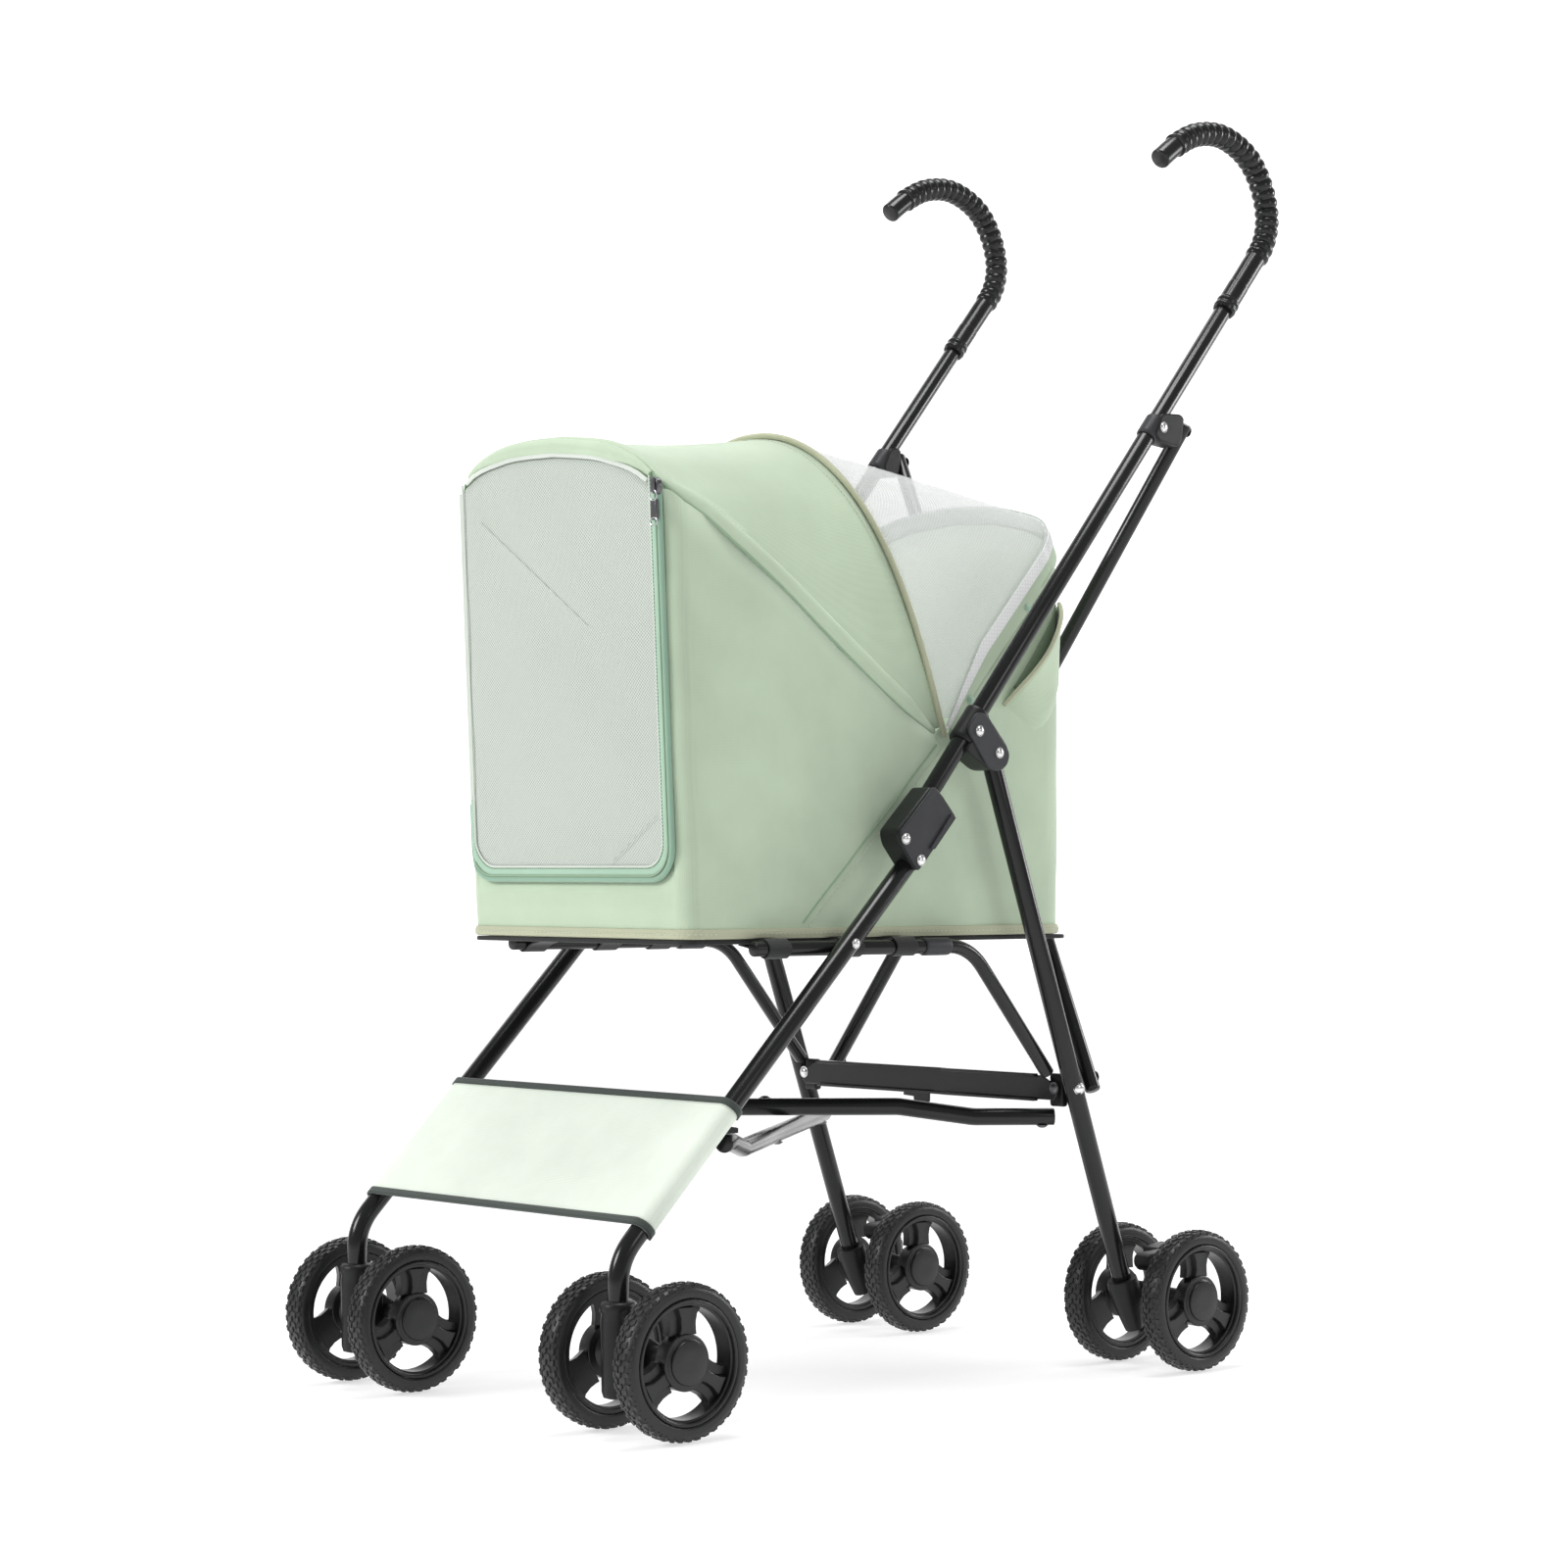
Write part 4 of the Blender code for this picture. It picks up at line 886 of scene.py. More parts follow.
def leaned(y, z):
    """y of a wall point at height z: the front panel leans forward, and the lean fades along the sides."""
    return y - LEAN * (z - CABIN_FLOOR) * max(0.0, 1 - (y - CABIN_FRONT) / 0.130)


def lift(x, y):
    """The soft front arch sits a little higher on its left."""
    return -(0.035 if x > 0 else 0.105) * x * max(0.0, 1 - max(0.0, y - 0.05) / 0.03)


def lopsided(pts):
    return [p + Vector((0, 0, lift(p.x, p.y))) for p in pts]


front_bow = centred(lopsided(mirrored(FRONT_BOW, HALF)))
rear_bow = centred(mirrored(bow_half(), HALF, False))
rim_curve = centred(mirrored(REAR_RIM, HALF))
CABIN_CENTRE = place(0, 0.27, 0.50)


def thicken(ob, thickness, offset=-1.0, inner=0):
    """Gives an open sheet its real thickness; inner counts the material slots on to the inside's."""
    m = ob.modifiers.new("skin", "SOLIDIFY")
    m.thickness, m.offset, m.material_offset = thickness, offset, inner
    apply_modifiers(ob)


def grid_sheet(name, rows, mat, thickness, body="right_frame", stands_for=(),
               offset=-1.0, centre=CABIN_CENTRE):
    """A cloth surface over rows of points, with its real thickness."""
    bm = bmesh.new()
    grid = [[bm.verts.new(p) for p in row] for row in rows]
    for a, b in zip(grid, grid[1:]):
        skin(bm, a, b, close=False)
    bmesh.ops.remove_doubles(bm, verts=bm.verts, dist=1e-6)
    ob = linked(name, smooth_mesh(name, bm, mat, 60))
    fix_outward(ob, centre)
    thicken(ob, thickness, offset)
    for p in ob.data.polygons:
        p.use_smooth = True
    return soft(attach(ob, body, stands_for))


def fix_outward(ob, centre=CABIN_CENTRE):
    """Turns an open sheet's faces away from a point inside it."""
    total = sum((p.center - centre).normalized().dot(p.normal) * p.area for p in ob.data.polygons)
    if total < 0:
        ob.data.flip_normals()


# canopy hood: a sheet stretched from the front arch to the rear bow, with a padded sleeve along the arch
SLEEVE, SLEEVE_ROW, HOOD_ROWS = 0.0140, 10, 30
HOOD_CENTRE = place(0, 0.20, 0.50)


def outward(p):
    return (p - HOOD_CENTRE).normalized()


hood_rows = []
for v in range(HOOD_ROWS + 1):
    row = []
    for i, (a, b) in enumerate(zip(front_bow, rear_bow)):
        t = (front_bow[min(i + 1, 2 * HALF - 2)] - front_bow[max(i - 1, 0)]).normalized()
        across = (b - a) - t * (b - a).dot(t)
        gap = across.length
        edge = a + across * min(0.5, SLEEVE / max(gap, 1e-6))
        if v <= SLEEVE_ROW:
            p = a.lerp(edge, v / SLEEVE_ROW)
            puff = 0.0046 * max(0.0, math.sin(math.pi * v / SLEEVE_ROW)) ** 0.6 * min(1, gap / 0.03)
        else:
            q = (v - SLEEVE_ROW) / (HOOD_ROWS - SLEEVE_ROW)
            p = edge.lerp(b, q * 0.992)
            puff = -0.0035 * math.sin(math.pi * q) * min(1, gap / 0.15)
        row.append(p + outward(p) * puff)
    hood_rows.append(row)
hood = grid_sheet("canopy_hood_look", [r[1:-1] for r in hood_rows], "green", 0.0014, stands_for="canopy_hood")

for name, line_pts, body, pitch in (("hood_sleeve_stitch", hood_rows[SLEEVE_ROW], "right_frame", 0.0040),
                                    ("bow_stitch", hood_rows[-2], "canopy", 0.0036)):
    normals = [outward(p) for p in line_pts]
    sewn(name, "thread", [p + n * 0.0003 for p, n in zip(line_pts, normals)][3:-3], normals[3:-3], pitch,
         pitch * 0.6, body=body)
# the bow seam is a real dark seam; the thin dark line along the sleeve's crease is painted shade
for name, line_pts, r in (("front_bow_seam", front_bow, 0.0011),
                          ("sleeve_crease_shade_line", hood_rows[SLEEVE_ROW], 0.0006)):
    piping(name, "seam", [p + outward(p) * 0.0001 for p in line_pts][3:-3], r)

# green roll along the arch and a thin pale piping under it, above the door
arch = [p for p in front_bow if abs(p.x) < 0.121 and p.y + CENTRE_Y < 0.052]
ends = [min(1.0, (k + 1) / 5, (len(arch) - k) / 5) for k in range(len(arch))]
piping("arch_roll", "green", [p + Vector((0, -0.0012, -0.0042 * e)) for p, e in zip(arch, ends)],
       [0.0012 + 0.0046 * e for e in ends], 18, flat=1.15)
under_roll = [p + Vector((0, -0.0046, -0.0052 - 0.0052 * e)) for p, e in zip(arch, ends)]
piping("arch_binding", "arch_white", under_roll, 0.0012, 10, flat=1.5, slot="white_mesh")

# sewn corner patches where the bows meet
PATCH = smooth_outline([(0.3190, 0.5165), (0.3290, 0.5235), (0.3370, 0.5150), (0.3300, 0.5050)], 0.003, 4)
for s, tag in SIDES:
    soft(prism("corner_patch_" + tag, PATCH, (s * 0.1346, s * 0.1368), "green", "right_frame", (), 0.0006, 2))

# rear bow in its beige binding
bow_trim = centred(mirrored(bow_half(BOW_REACH + 0.0024, CABIN_X + 0.0022), 70, False))
piping("bow_binding", "beige", bow_trim, 0.0022, 14, flat=1.25, slot="trim_beige", body="canopy",
       stands_for="canopy_bow")

# green edge along the rear rim, the ribbed elastic collar standing on it, and the mesh top from the collar's
# upper edge to the bow
def collar(rim, mates, i):
    """At a rim point: the way up the collar, the edge's and the collar's width, and the rim's direction."""
    last = len(rim) - 1
    t = (rim[min(i + 1, last)] - rim[max(i - 1, 0)]).normalized()
    inward = mates[i] - rim[i]
    inward = inward.normalized() * 0.45 + Vector((0, 0, 0.85)) if inward.length > 1e-6 else Vector((0, 0, 1))
    inward = (inward - t * inward.dot(t)).normalized()
    away, flank = min(i, last - i) / last, min(1.0, max(0.0, (abs(rim[i].x) - 0.080) / 0.045))
    wide = (0.0160 - 0.0050 * flank) * min(1.0, 0.15 + 7 * away)
    return inward, 0.0080 * flank * min(1.0, 8 * away), wide, t


def strip(bm, spine, half_thick):
    """A flat band: each entry is its centre, the way across, half its width and its face direction."""
    loops = [[bm.verts.new(c + d * half * q + up * half_thick * w) for q, w in
              ((-1, 0.4), (-0.85, 1), (0.85, 1), (1, 0.4), (1, -0.4), (0.85, -1), (-0.85, -1), (-1, -0.4))]
             for c, d, half, up in spine]
    loft(bm, loops)


RIB_COUNT, RIB_HALF, RIB_RISE = 420, 0.0013, 0.0019
fine_rim = centred(mirrored(REAR_RIM, RIB_COUNT))
fine_bow = centred(mirrored(bow_half(count=400), RIB_COUNT, False))
edge_spine, band_spine, ribs = [], [], bmesh.new()
for i in range(10, len(fine_rim) - 10):
    p = fine_rim[i]
    d, edge, wide, t = collar(fine_rim, fine_bow, i)
    up = t.cross(d)
    if i % 4 == 0:
        edge_spine.append((p + d * (edge / 2 - 0.0018), d, edge / 2 + 0.0024, up))
        band_spine.append((p + d * (edge + wide / 2 - 0.0012), d, wide / 2, up))
    if i % 3 == 1:
        c, lean = p + d * (edge + wide / 2 - 0.0012), t * 0.0011
        loft(ribs, [[ribs.verts.new(c + (d * wide * 0.44 + lean) * q + t * a * RIB_HALF + up * b * RIB_RISE)
                     for a, b in ((-1, -1), (1, -1), (1, 1), (-1, 1))] for q in (-1, 1)])
bm = bmesh.new()
strip(bm, edge_spine, 0.0016)
fabric("rim_green_edge", bm, "green")
# the band under the white ribs is darker: painted shade in the gaps between the ribs
bm = bmesh.new()
strip(bm, band_spine, 0.0009)
fabric("rim_elastic_rib_gap_shade", bm, "rib_gap_shade", "white_mesh")
fabric("rim_ribs", ribs, "white", "white_mesh")

rows = []
for v in range(13):
    t = v / 12
    row = []
    for i, (a, b) in enumerate(zip(rear_bow, rim_curve)):
        d, edge, wide, _ = collar(rim_curve, rear_bow, i)
        full = 0.0030 * math.sin(math.pi * t) * min(1, (b - a).length / 0.1)
        row.append(a.lerp(b + d * (edge + wide - 0.0025), 0.01 + 0.99 * t) + Vector((0, 0, full)))
    rows.append(row)
mesh_top = grid_sheet("mesh_top_look", [r[2:-2] for r in rows], "top_net", 0.0007, stands_for="mesh_top")

# ---- cabin tub
SILL, LEVELS, SILL_LEVEL = 0.4000, 14, 3
DOOR_X, DOOR_LOW, DOOR_R = 0.1235, 0.4030, 0.0240


def door_low(px):
    """Height of the door's rounded lower edge."""
    e = abs(px) - (DOOR_X - DOOR_R)
    return DOOR_LOW if e <= 0 else DOOR_LOW + DOOR_R - math.sqrt(max(DOOR_R ** 2 - e * e, 0.0))


def plan(steps=8):
    """The tub's outline from the middle of the front to the middle of the back; True under the door."""
    flat, f = CABIN_X - FRONT_CORNER, CABIN_FRONT + FRONT_CORNER
    b, r = CABIN_BACK - CORNER, CORNER
    pts = [(flat * k / 24, CABIN_FRONT, True) for k in range(25)]
    for k in range(steps + 1):
        t = math.radians(6 + 84 * k / steps)
        pts.append((flat + FRONT_CORNER * math.sin(t), f - FRONT_CORNER * math.cos(t), False))
    pts += [(CABIN_X, f + (b - f) * k / 30, False) for k in range(1, 30)]
    for k in range(steps + 1):
        t = math.radians(90 - 90 * k / steps)
        pts.append((CABIN_X - r + r * math.sin(t), b + r * math.cos(t), False))
    return pts + [((CABIN_X - r) * (1 - k / 10), CABIN_BACK, False) for k in range(1, 11)]


def lookup(v, table):
    """The table's value at v, straight between its rows."""
    for (a, za), (b, zb) in zip(table, table[1:]):
        if a <= v <= b:
            return za + (zb - za) * (v - a) / (b - a)
    return table[0][1] if v < table[0][0] else table[-1][1]


SIDE_TOP = sorted((p[1], p[2]) for p in FRONT_BOW[:7]) + sorted((p[1], p[2]) for p in REAR_RIM[1:4])
BACK_TOP = [(-p[0], p[2]) for p in REAR_RIM[3:]]


def wall_top(x, y, wicket):
    """Height of the tub's upper edge."""
    if wicket:
        return door_low(x) + 0.0030
    if y >= CABIN_BACK - 0.012:
        return lookup(-abs(x), BACK_TOP) - 0.0015
    yy = leaned(y, 0.693)
    return lookup(yy, SIDE_TOP) + lift(x, yy) - 0.0015


half = plan()
ring = half + [(-x, y, w) for x, y, w in reversed(half[1:-1])]


def dent(y, z):
    """Shallow uneven patches in the cloth."""
    return 0.0006 * math.sin(y * 61 + z * 23) * math.sin(z * 37 + y * 11)


def swell(z):
    return 0.0016 * math.sin(math.pi * min(1, (z - CABIN_FLOOR) / 0.30))


bm = bmesh.new()
columns = []
for x, y, wicket in ring:
    top, col = wall_top(x, y, wicket), []
    on_side_wall = abs(x) > CABIN_X - 0.0001
    face = Vector((math.copysign(1, x), 0, 0) if on_side_wall else (x, (y - 0.27) * 0.9, 0)).normalized()
    for k in range((SILL_LEVEL if wicket else LEVELS) + 1):
        if k <= SILL_LEVEL:
            zz = CABIN_FLOOR + ((top if wicket else SILL) - CABIN_FLOOR) * k / SILL_LEVEL
        else:
            zz = SILL + (top - SILL) * (k - SILL_LEVEL) / (LEVELS - SILL_LEVEL)
        proud = 0.0 if wicket else swell(zz) + dent(y, zz)
        col.append(place(x, leaned(y, zz), zz) + face * proud)
    columns.append([bm.verts.new(p) for p in col])
for k in range(len(columns)):
    a, b = columns[k], columns[(k + 1) % len(columns)]
    for i in range(min(len(a), len(b)) - 1):
        bm.faces.new((a[i], b[i], b[i + 1], a[i + 1]))
bm.faces.new([c[0] for c in columns])
tub = linked("cabin_tub_look", smooth_mesh("cabin_tub_look", bm, "green", 50))
fix_outward(tub)
tub.data.materials.append(M["inside"])
thicken(tub, 0.0016, inner=1)
soft(attach(tub, "right_frame", "cabin_tub"))


def wall_x(y):
    """Half width of the tub at y, round the rear corner."""
    over = y - (CABIN_BACK - CORNER)
    return CABIN_X if over <= 0 else CABIN_X - CORNER + math.sqrt(max(CORNER ** 2 - over ** 2, 0.0))


def wall_point(s, y, z, proud=0.0):
    """A point on the outside of the tub's side wall."""
    return place(s * (wall_x(y) + swell(z) + dent(y, z) + proud), y, z)


for s, tag in SIDES:
    (ya, za), (yb, zb) = (0.3225, 0.5085), (0.1813, 0.3690)
    pts = [wall_point(s, ya + (yb - ya) * k / 24, za + (zb - za) * k / 24, 0.0001) for k in range(25)]
    piping("side_seam_" + tag, "seam", pts, 0.0008, ref=(1, 0, 0))
    sewn("side_stitch_" + tag, "thread", [p + Vector((0, 0.0045, -0.0045)) for p in pts],
         [Vector((s, 0, 0))] * 2, 0.0040, 0.0024)

# bottom binding with its stitches, all round
bm = bmesh.new()
cols, mid_line, mid_normal = [], [], []
for k, (x, y, wicket) in enumerate(ring):
    xa, ya, _ = ring[k - 1]
    xb, yb, _ = ring[(k + 1) % len(ring)]
    n = Vector((yb - ya, xa - xb, 0)).normalized()
    p = place(x, y, 0)
    cols.append([bm.verts.new(p + n * out + Vector((0, 0, z))) for out, z in
                 ((0.0004, 0.3572), (0.0024, 0.3580), (0.0026, 0.3625), (0.0016, 0.3648), (-0.0004, 0.3650))])
    mid_line.append(p + n * 0.0026 + Vector((0, 0, 0.3610)))
    mid_normal.append(n)
for k in range(len(cols)):
    skin(bm, cols[k], cols[(k + 1) % len(cols)])
fabric("bottom_binding", bm, "beige", "trim_beige")
sewn("bottom_stitch", "thread", mid_line + [mid_line[0]], mid_normal, 0.0046, 0.0028, slot="trim_beige")

# ---- front door
ARCH_TOP = sorted((p.x, p.z) for p in front_bow if p.y + CENTRE_Y < 0.056)
DOOR_PROUD = 0.0030


def on_front(px, pz, proud):
    """A point in front of the front wall, wrapping a little round its left corner."""
    return place(px, leaned(CABIN_FRONT, pz) - proud + max(0.0, -px - 0.1190) * 0.5, pz)


def door_outline(inset=0.0):
    """The U from the top right corner down, across and up again, as (x, z)."""
    w, low, r = DOOR_X - inset, DOOR_LOW + inset, DOOR_R - inset * 0.5

    def side(high):
        return [(w, high - (high - low - r) * k / 24) for k in range(24)]

    corner = [(w - r + r * math.cos(math.radians(7.5 * k)), low + r - r * math.sin(math.radians(7.5 * k)))
              for k in range(13)]
    under = [((w - r) * (1 - k / 8), low) for k in range(1, 16)]
    left = [(-px - 0.0045 * min(1.0, max(0.0, pz - low) / r), pz)
            for px, pz in reversed(side(lookup(-w, ARCH_TOP) - 0.006) + corner)]
    return side(lookup(w, ARCH_TOP) - 0.001) + corner + under + left


rows = []
for k in range(31):
    t = k / 30
    row = []
    for i in range(37):
        px = DOOR_X * (-1 + i / 18)
        zz = door_low(px) + (lookup(px, ARCH_TOP) - 0.0085 - door_low(px)) * t
        puff = 0.0020 * (1 - (px / DOOR_X) ** 2) * math.sin(math.pi * t)
        crease = 0.0005 * math.sin((zz * 1.1 + px) * 55) * math.sin(math.pi * t)
        row.append(on_front(px, zz, DOOR_PROUD + puff + crease))
    rows.append(row)
door = grid_sheet("door_panel", rows, "door_net", 0.0009, "door", "front_door")

# piping, tape, teeth and bead: inset from the outline, how far forward, radius, flatness, and the stretch of
# the outline that each covers
OUTLINE_END, PAST_CORNER = 91, 68
FORWARD = Vector((0, -1, 0))
for name, inset, forward, r, flat, mat, first, last in (
    # the dark outer piping is a darker mint cord that also paints the shadow along the door's edge
    ("door_piping", -0.0008, 0.0030, 0.0024, 1.0, "piping_dark_and_shadow", 0, PAST_CORNER),
    ("door_zip_tape", 0.0050, 0.0036, 0.0036, 0.30, "piping", 0, PAST_CORNER),
    ("door_teeth_line", 0.0018, 0.0048, 0.0008, 1.0, "seam", 0, PAST_CORNER),
    ("door_bead", 0.0088, 0.0040, 0.0010, 0.8, "arch_white", 0, OUTLINE_END),
    ("door_left_binding", 0.0006, 0.0032, 0.0024, 0.8, "arch_white", PAST_CORNER - 1, OUTLINE_END),
):
    bm = bmesh.new()
    pts = [on_front(px, pz, forward) for px, pz in door_outline(inset)][first:last]
    threaded(bm, pts, FORWARD, circle(12, r, r * flat))
    fabric(name, bm, mat, body="door")
sewn("door_stitch", "seam", [on_front(px, pz, 0.0046) for px, pz in door_outline(0.0076)[:PAST_CORNER]],
     [FORWARD] * 2, 0.0026, 0.0015, body="door")

# two faint lines of painted shade along folds in the net, from corner to corner
FOLDS = (((-0.0980, 0.6860), (0.0360, 0.5960)), ((0.0520, 0.4140), (0.1100, 0.4500)))
for i, ((xa, za), (xb, zb)) in enumerate(FOLDS):
    line_pts = [on_front(xa + (xb - xa) * k / 20, za + (zb - za) * k / 20, 0.0052) for k in range(21)]
    piping(f"door_fold_shade_{i + 1}", "net_fold_shade", line_pts, 0.00024, 6, slot="white_mesh", body="door")

# zip slider, its ring and its tab
ZIP_X = DOOR_X + 0.0010


def plate(bm, outline, d0, d1, shrink=0.85):
    """A small plate beside the zip that stands proud of the door from d0 to d1, narrower at its face."""
    outline = [(ZIP_X + a, b) for a, b in outline]
    cx = sum(a for a, b in outline) / len(outline)
    cz = sum(b for a, b in outline) / len(outline)
    loft(bm, [[bm.verts.new(on_front(cx + (a - cx) * k, cz + (b - cz) * k, d)) for a, b in outline]
              for k, d in ((1.0, d0), (shrink, d1))])


bm = bmesh.new()
plate(bm, [(a, 0.6955 + b) for a, b in circle(12, 0.0053, 0.0070)], 0.0036, 0.0078)
plate(bm, [(-0.0018, 0.6900), (0.0018, 0.6900), (0.0018, 0.7030), (-0.0018, 0.7030)], 0.0078, 0.0104, 0.8)
plate(bm, [(-0.0032, 0.6860), (0.0030, 0.6860), (0.0034, 0.6710), (-0.0044, 0.6700)], 0.0062, 0.0092, 0.92)
soft(bevel(add("zip_slider_look", bm, "gunmetal", "zipper", "zipper_pull"), 0.0006))
bm = bmesh.new()
for cx, cz, rx, rz in ((ZIP_X, 0.6885, 0.0036, 0.0040), (ZIP_X - 0.0006, 0.6690, 0.0040, 0.0030)):
    path = [on_front(cx + a, cz + b, 0.0088) for a, b in circle(28, rx, rz)]
    threaded(bm, path, -FORWARD, circle(8, 0.0005, 0.0005), True)
fabric("zip_ring", bm, "steel", "zip_metal", "zipper")

# ---- inside and underneath
pad = bmesh.new()
nx, ny = 30, 46
x0, x1, y0, y1, z0, z1 = -0.1180, 0.1180, 0.0790, 0.4600, 0.3600, 0.3780
tops, lows = [], []
for j in range(ny + 1):
    rt, rl = [], []
    for i in range(nx + 1):
        px, py = x0 + (x1 - x0) * i / nx, y0 + (y1 - y0) * j / ny
        edge = 1 - math.exp(-min(px - x0, x1 - px, py - y0, y1 - py) / 0.006)
        quilt = abs(math.sin((px + py) * math.pi / 0.052)) * abs(math.sin((px - py) * math.pi / 0.052))
        puff = edge * (0.55 + 0.45 * quilt ** 0.5)
        rt.append(pad.verts.new(place(px, py, z0 + 0.006 + (z1 - z0 - 0.007) * puff)))
        rl.append(pad.verts.new(place(px, py, z0 + 0.0045 * (1 - edge))))
    tops.append(rt)
    lows.append(rl)
for sheet_rows in (tops, lows):
    for a, b in zip(sheet_rows, sheet_rows[1:]):
        skin(pad, a, b, close=False)


def border(g):
    return g[0] + [r[-1] for r in g[1:]] + g[-1][-2::-1] + [r[0] for r in g[-2:0:-1]]


skin(pad, border(tops), border(lows))
mat_ob = add("floor_mat_look", pad, "mat", "right_frame", "floor_mat", 60)
soft(mat_ob)

bm = bmesh.new()
corners = []
for cx, cy, a0 in ((1, 1, 0), (-1, 1, 90), (-1, -1, 180), (1, -1, 270)):
    for k in range(7):
        t = math.radians(a0 + 15 * k)
        middle = 0.4640 if cy > 0 else 0.0780
        corners.append((cx * 0.1225 + 0.0125 * math.cos(t), middle + 0.0125 * math.sin(t)))
loft(bm, [[bm.verts.new(place(a, b, z)) for a, b in corners] for z in (0.3532, 0.3566)])
soft(bevel(add("base_sling_look", bm, "black_cloth", "right_frame", "base_sling"), 0.0010))
# straps from the sling round each seat rail, as (x, z)
STRAP = ((0.120, 0.3540), (0.140, 0.3555), (0.1500, 0.3568), (0.1568, 0.3500), (0.1500, 0.3428),
         (0.138, 0.3490), (0.120, 0.3525))
STRAP_THICK, STRAP_WIDE = 0.0006, 0.011
for i, y in enumerate((0.140, 0.215, 0.272)):
    bm = bmesh.new()
    for s in (1, -1):
        pts = spline([place(s * a, y, z) for a, z in STRAP], 6)
        corners = [(a * STRAP_THICK, b * STRAP_WIDE) for a, b in ((-1, -1), (-1, 1), (1, 1), (1, -1))]
        threaded(bm, pts, -FORWARD, corners)
    fabric(f"rail_strap_{i + 1}", bm, "black_cloth", "base_fabric")

# ---- rear side pockets: a patch that gapes at its bound mouth, a dark strip of painted shade inside the mouth, and two snaps beside the rim
MOUTH = [(0.3973, 0.5423), (0.4066, 0.5541), (0.4197, 0.5698), (0.4342, 0.5881), (0.4505, 0.6091),
         (0.4682, 0.6280)]
POCKET_GAPE = 0.0155
for s, tag in SIDES:
    mouth = evenly(spline([Vector((0, y, z)) for y, z in MOUTH], 10), 31)
    down = Vector((0, 0.80, -0.60))
    rows, inner = [], []
    for k in range(11):
        t = k / 10
        row = []
        for i, p in enumerate(mouth):
            u = i / (len(mouth) - 1)
            reach = min(0.050, (CABIN_BACK - 0.0012 - p.y) / down.y)
            q = p + down * reach * t
            gape = POCKET_GAPE * math.sin(math.pi * u * 0.93) * (1 - t) ** 1.6
            sunk = 0.0030 * (max(0.0, 1 - u * 7) + max(0.0, t - 0.8) * 5)
            row.append(wall_point(s, q.y, q.z, 0.0006 + gape - sunk))
        rows.append(row)
    grid_sheet("pocket_flap_" + tag, rows, "green", 0.0012, offset=1.0)
    # a strip of painted shade on the wall just under the mouth, seen through the gape
    for p in mouth[5:]:
        inner.append([p - down * 0.0002, p + down * 0.0090, p + down * 0.0170])
    rows = [[wall_point(s, c[j].y, c[j].z, 0.0009 - 0.0001 * j) for c in inner] for j in range(3)]
    grid_sheet("pocket_painted_shade_" + tag, rows, "pocket_painted_shade", 0.0004, offset=0.0)
    lip = [wall_point(s, p.y, p.z, 0.0012 + POCKET_GAPE * math.sin(math.pi * 0.93 * i / 30))
           for i, p in enumerate(mouth)]
    piping("pocket_binding_" + tag, "beige", lip, 0.0019, 10, (0, 0, 1), slot="trim_beige")
    bm = bmesh.new()
    for y, z in ((0.4255, 0.6225), (0.3601, 0.5456)):
        rivet(bm, wall_point(s, y, z, 0.0002), (s, 0, 0), 0.0030)
    fabric("rim_snaps_" + tag, bm, "piping")

# ---- footrest sling round the front legs
ang = math.radians(LEG_ANGLE)
along, up = Vector((0, math.cos(ang), math.sin(ang))), Vector((0, -math.sin(ang), math.cos(ang)))
base = place(0, *LEG_LINE)
FOOT_A, FOOT_B, WRAP = -0.2440, -0.1215, 0.0092
section = []
for k in range(15):
    t = math.radians(-110 - 160 * k / 14)
    section.append((-FRAME_X + WRAP * math.cos(t), WRAP * math.sin(t)))
section += [(-FRAME_X + 2 * FRAME_X * k / 30, WRAP) for k in range(1, 30)]
section += [(-a, b) for a, b in reversed(section[:15])]
foot_centre = base + along * -0.18 - up * 0.2


def foot_sheet(name, d0, d1, lift_by, mat, thick, count, stands_for=()):
    """A band of cloth across both legs, from d0 to d1 along them."""
    rows = []
    for j in range(count + 1):
        d = d0 + (d1 - d0) * j / count
        row = []
        for a, b in section:
            share = max(0.0, 1 - (a / (FRAME_X * 0.98)) ** 2)
            sag = -0.0030 * share * math.sin(math.pi * (d - FOOT_A) / (FOOT_B - FOOT_A))
            round_leg = abs(a) > FRAME_X * 0.98
            out = Vector((a - math.copysign(FRAME_X, a), 0, 0)) + up * b if round_leg else up
            row.append(base + along * d + up * (b + sag) + Vector((a, 0, 0)) + out.normalized() * lift_by)
        rows.append(row)
    return grid_sheet(name, rows, mat, thick, stands_for=stands_for, centre=foot_centre)


foot = foot_sheet("footrest_look", FOOT_A, FOOT_B, 0.0, "foot", 0.0010, 16, "footrest_sling")
foot_sheet("footrest_hem_top", FOOT_B - 0.0052, FOOT_B + 0.0004, 0.0012, "hem", 0.0026, 3)
foot_sheet("footrest_hem_bottom", FOOT_A - 0.0004, FOOT_A + 0.0052, 0.0012, "hem", 0.0026, 3)


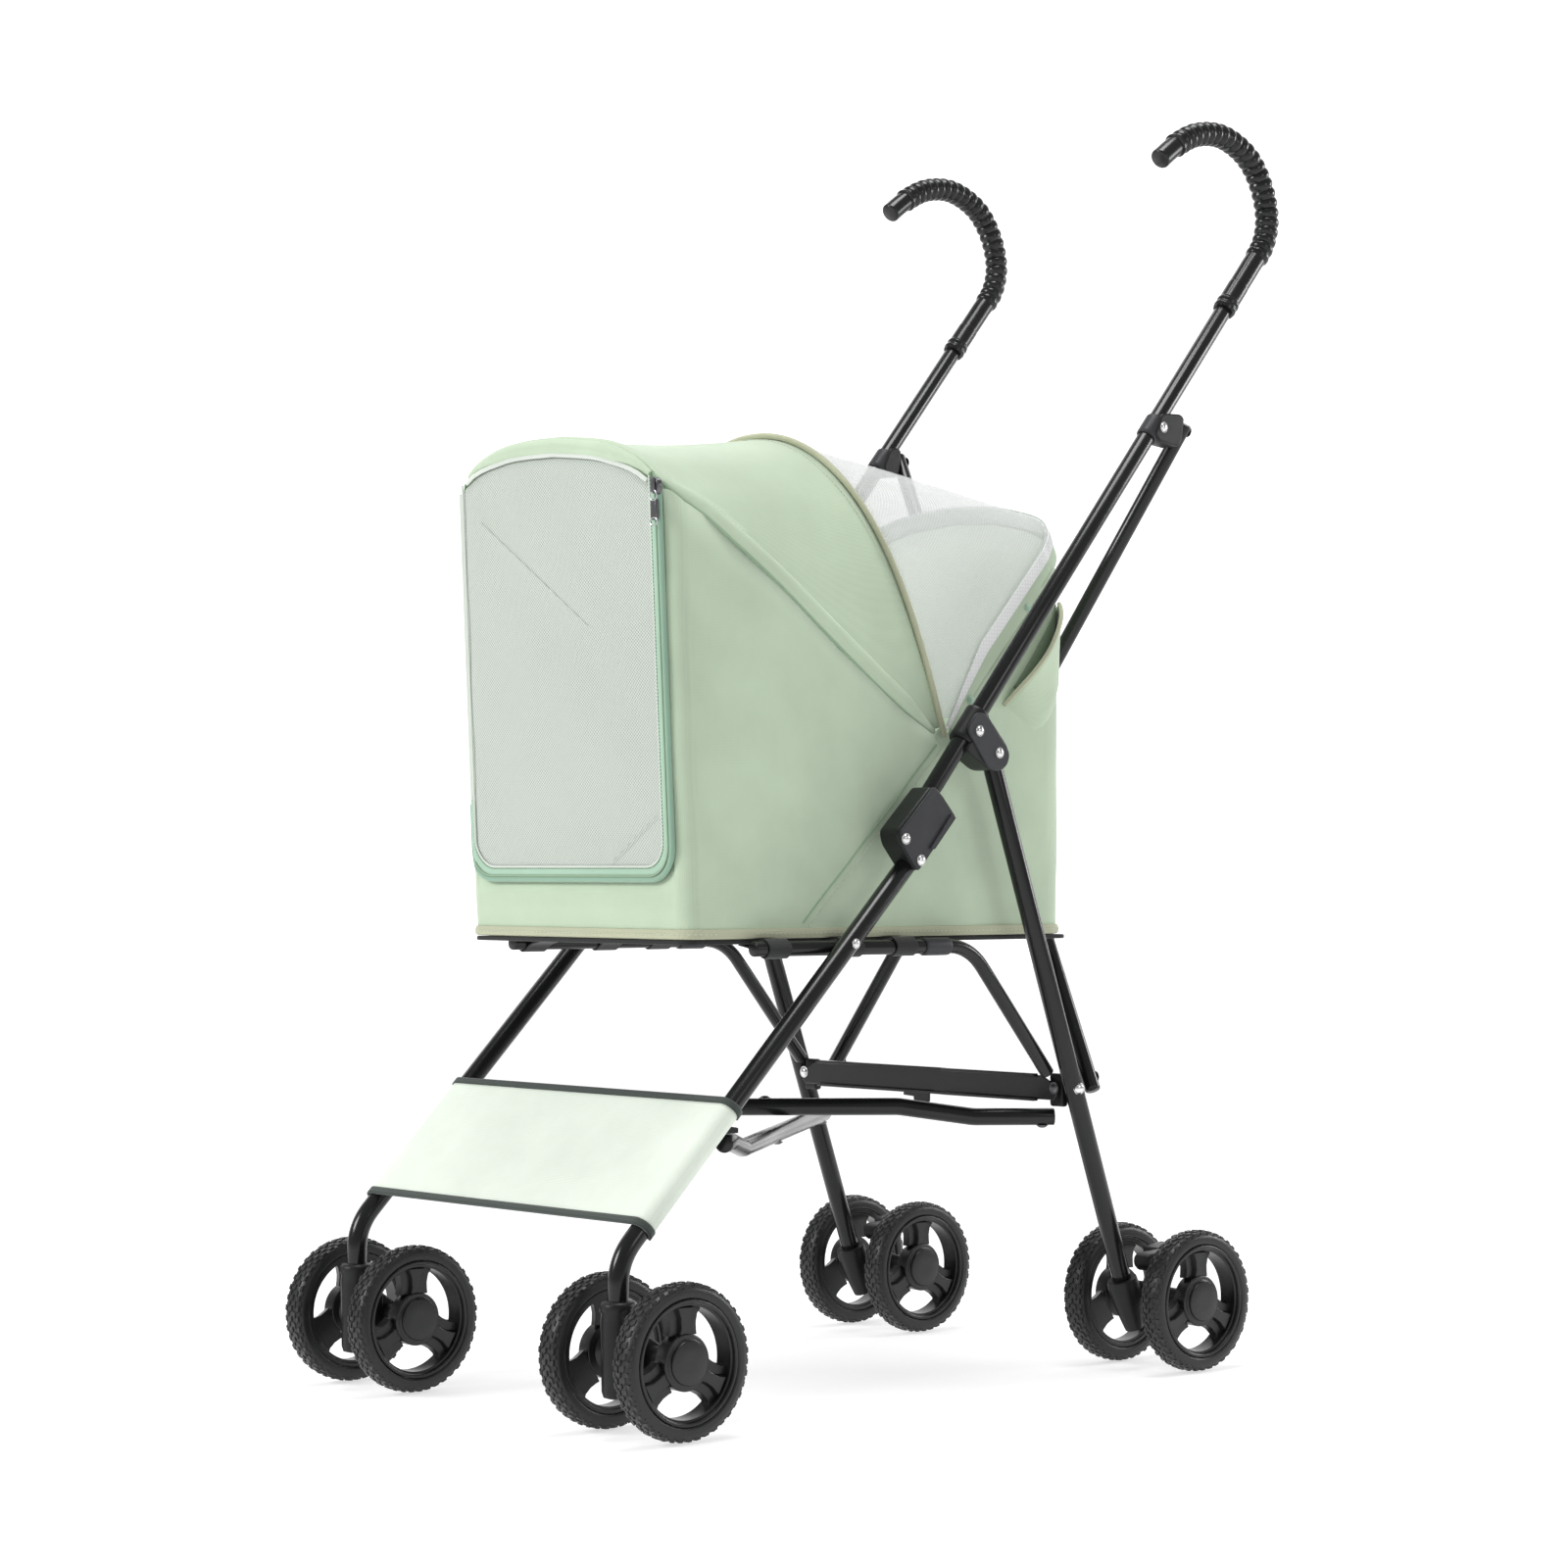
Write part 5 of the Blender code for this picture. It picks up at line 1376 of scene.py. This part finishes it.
# ---- stage, light and camera
def stage_plane(name, size, glow, base_tone):
    """A plain pale board; size is half its width."""
    bm = bmesh.new()
    bmesh.ops.create_grid(bm, x_segments=2, y_segments=2, size=size)
    ob = linked(name, bpy.data.meshes.new(name))
    bm.to_mesh(ob.data)
    bm.free()
    mt, _, b = principled(name + "_white")
    sockets(b, Base_Color=(base_tone, base_tone, base_tone, 1), Roughness=0.9, Specular_IOR_Level=0.05,
            Emission_Color=(1, 1, 1, 1), Emission_Strength=glow)
    ob.data.materials.append(mt)
    return ob


floor = stage_plane("floor", 30, 0.62, 0.55)
floor.location.z = -0.0006

cam_data = bpy.data.cameras.new("camera")
cam_data.lens, cam_data.sensor_width = 81.595, 36.0
cam = linked("camera", cam_data)
cam.location = (2.1665, -1.6370 - CENTRE_Y, 0.4115)
view_back = Vector((0.7484, -0.6628, -0.0234)).normalized()
cam.rotation_euler = (-view_back).to_track_quat("-Z", "Y").to_euler()
cam_data.clip_start, cam_data.clip_end = 0.05, 100
bpy.context.scene.camera = cam
bpy.context.scene.view_settings.view_transform = "Standard"

backdrop = stage_plane("backdrop", 14, 1.05, 0.5)
backdrop.location = -view_back * 12
backdrop.rotation_euler = view_back.to_track_quat("Z", "Y").to_euler()

world = bpy.data.worlds.new("studio")
bpy.context.scene.world = world
world.use_nodes = True
sockets(world.node_tree.nodes["Background"], Color=(1, 1, 1, 1), Strength=0.34)


def area_light(name, at, target, size, power):
    """A round soft light turned to its target."""
    data = bpy.data.lights.new(name, "AREA")
    data.shape, data.size, data.energy = "DISK", size, power
    ob = linked(name, data)
    ob.location = at
    ob.rotation_euler = (Vector(target) - Vector(at)).to_track_quat("-Z", "Y").to_euler()


area_light("key", (-1.2, -3.2, 2.0), (0, 0, 0.45), 1.4, 78)
area_light("side", (3.0, 0.3, 1.4), (0, 0, 0.45), 1.0, 8)
area_light("rear", (1.2, 2.8, 1.2), (0, 0, 0.45), 1.0, 25)
area_light("top", (0.2, 0.0, 3.2), (0, 0, 0.5), 1.4, 48)
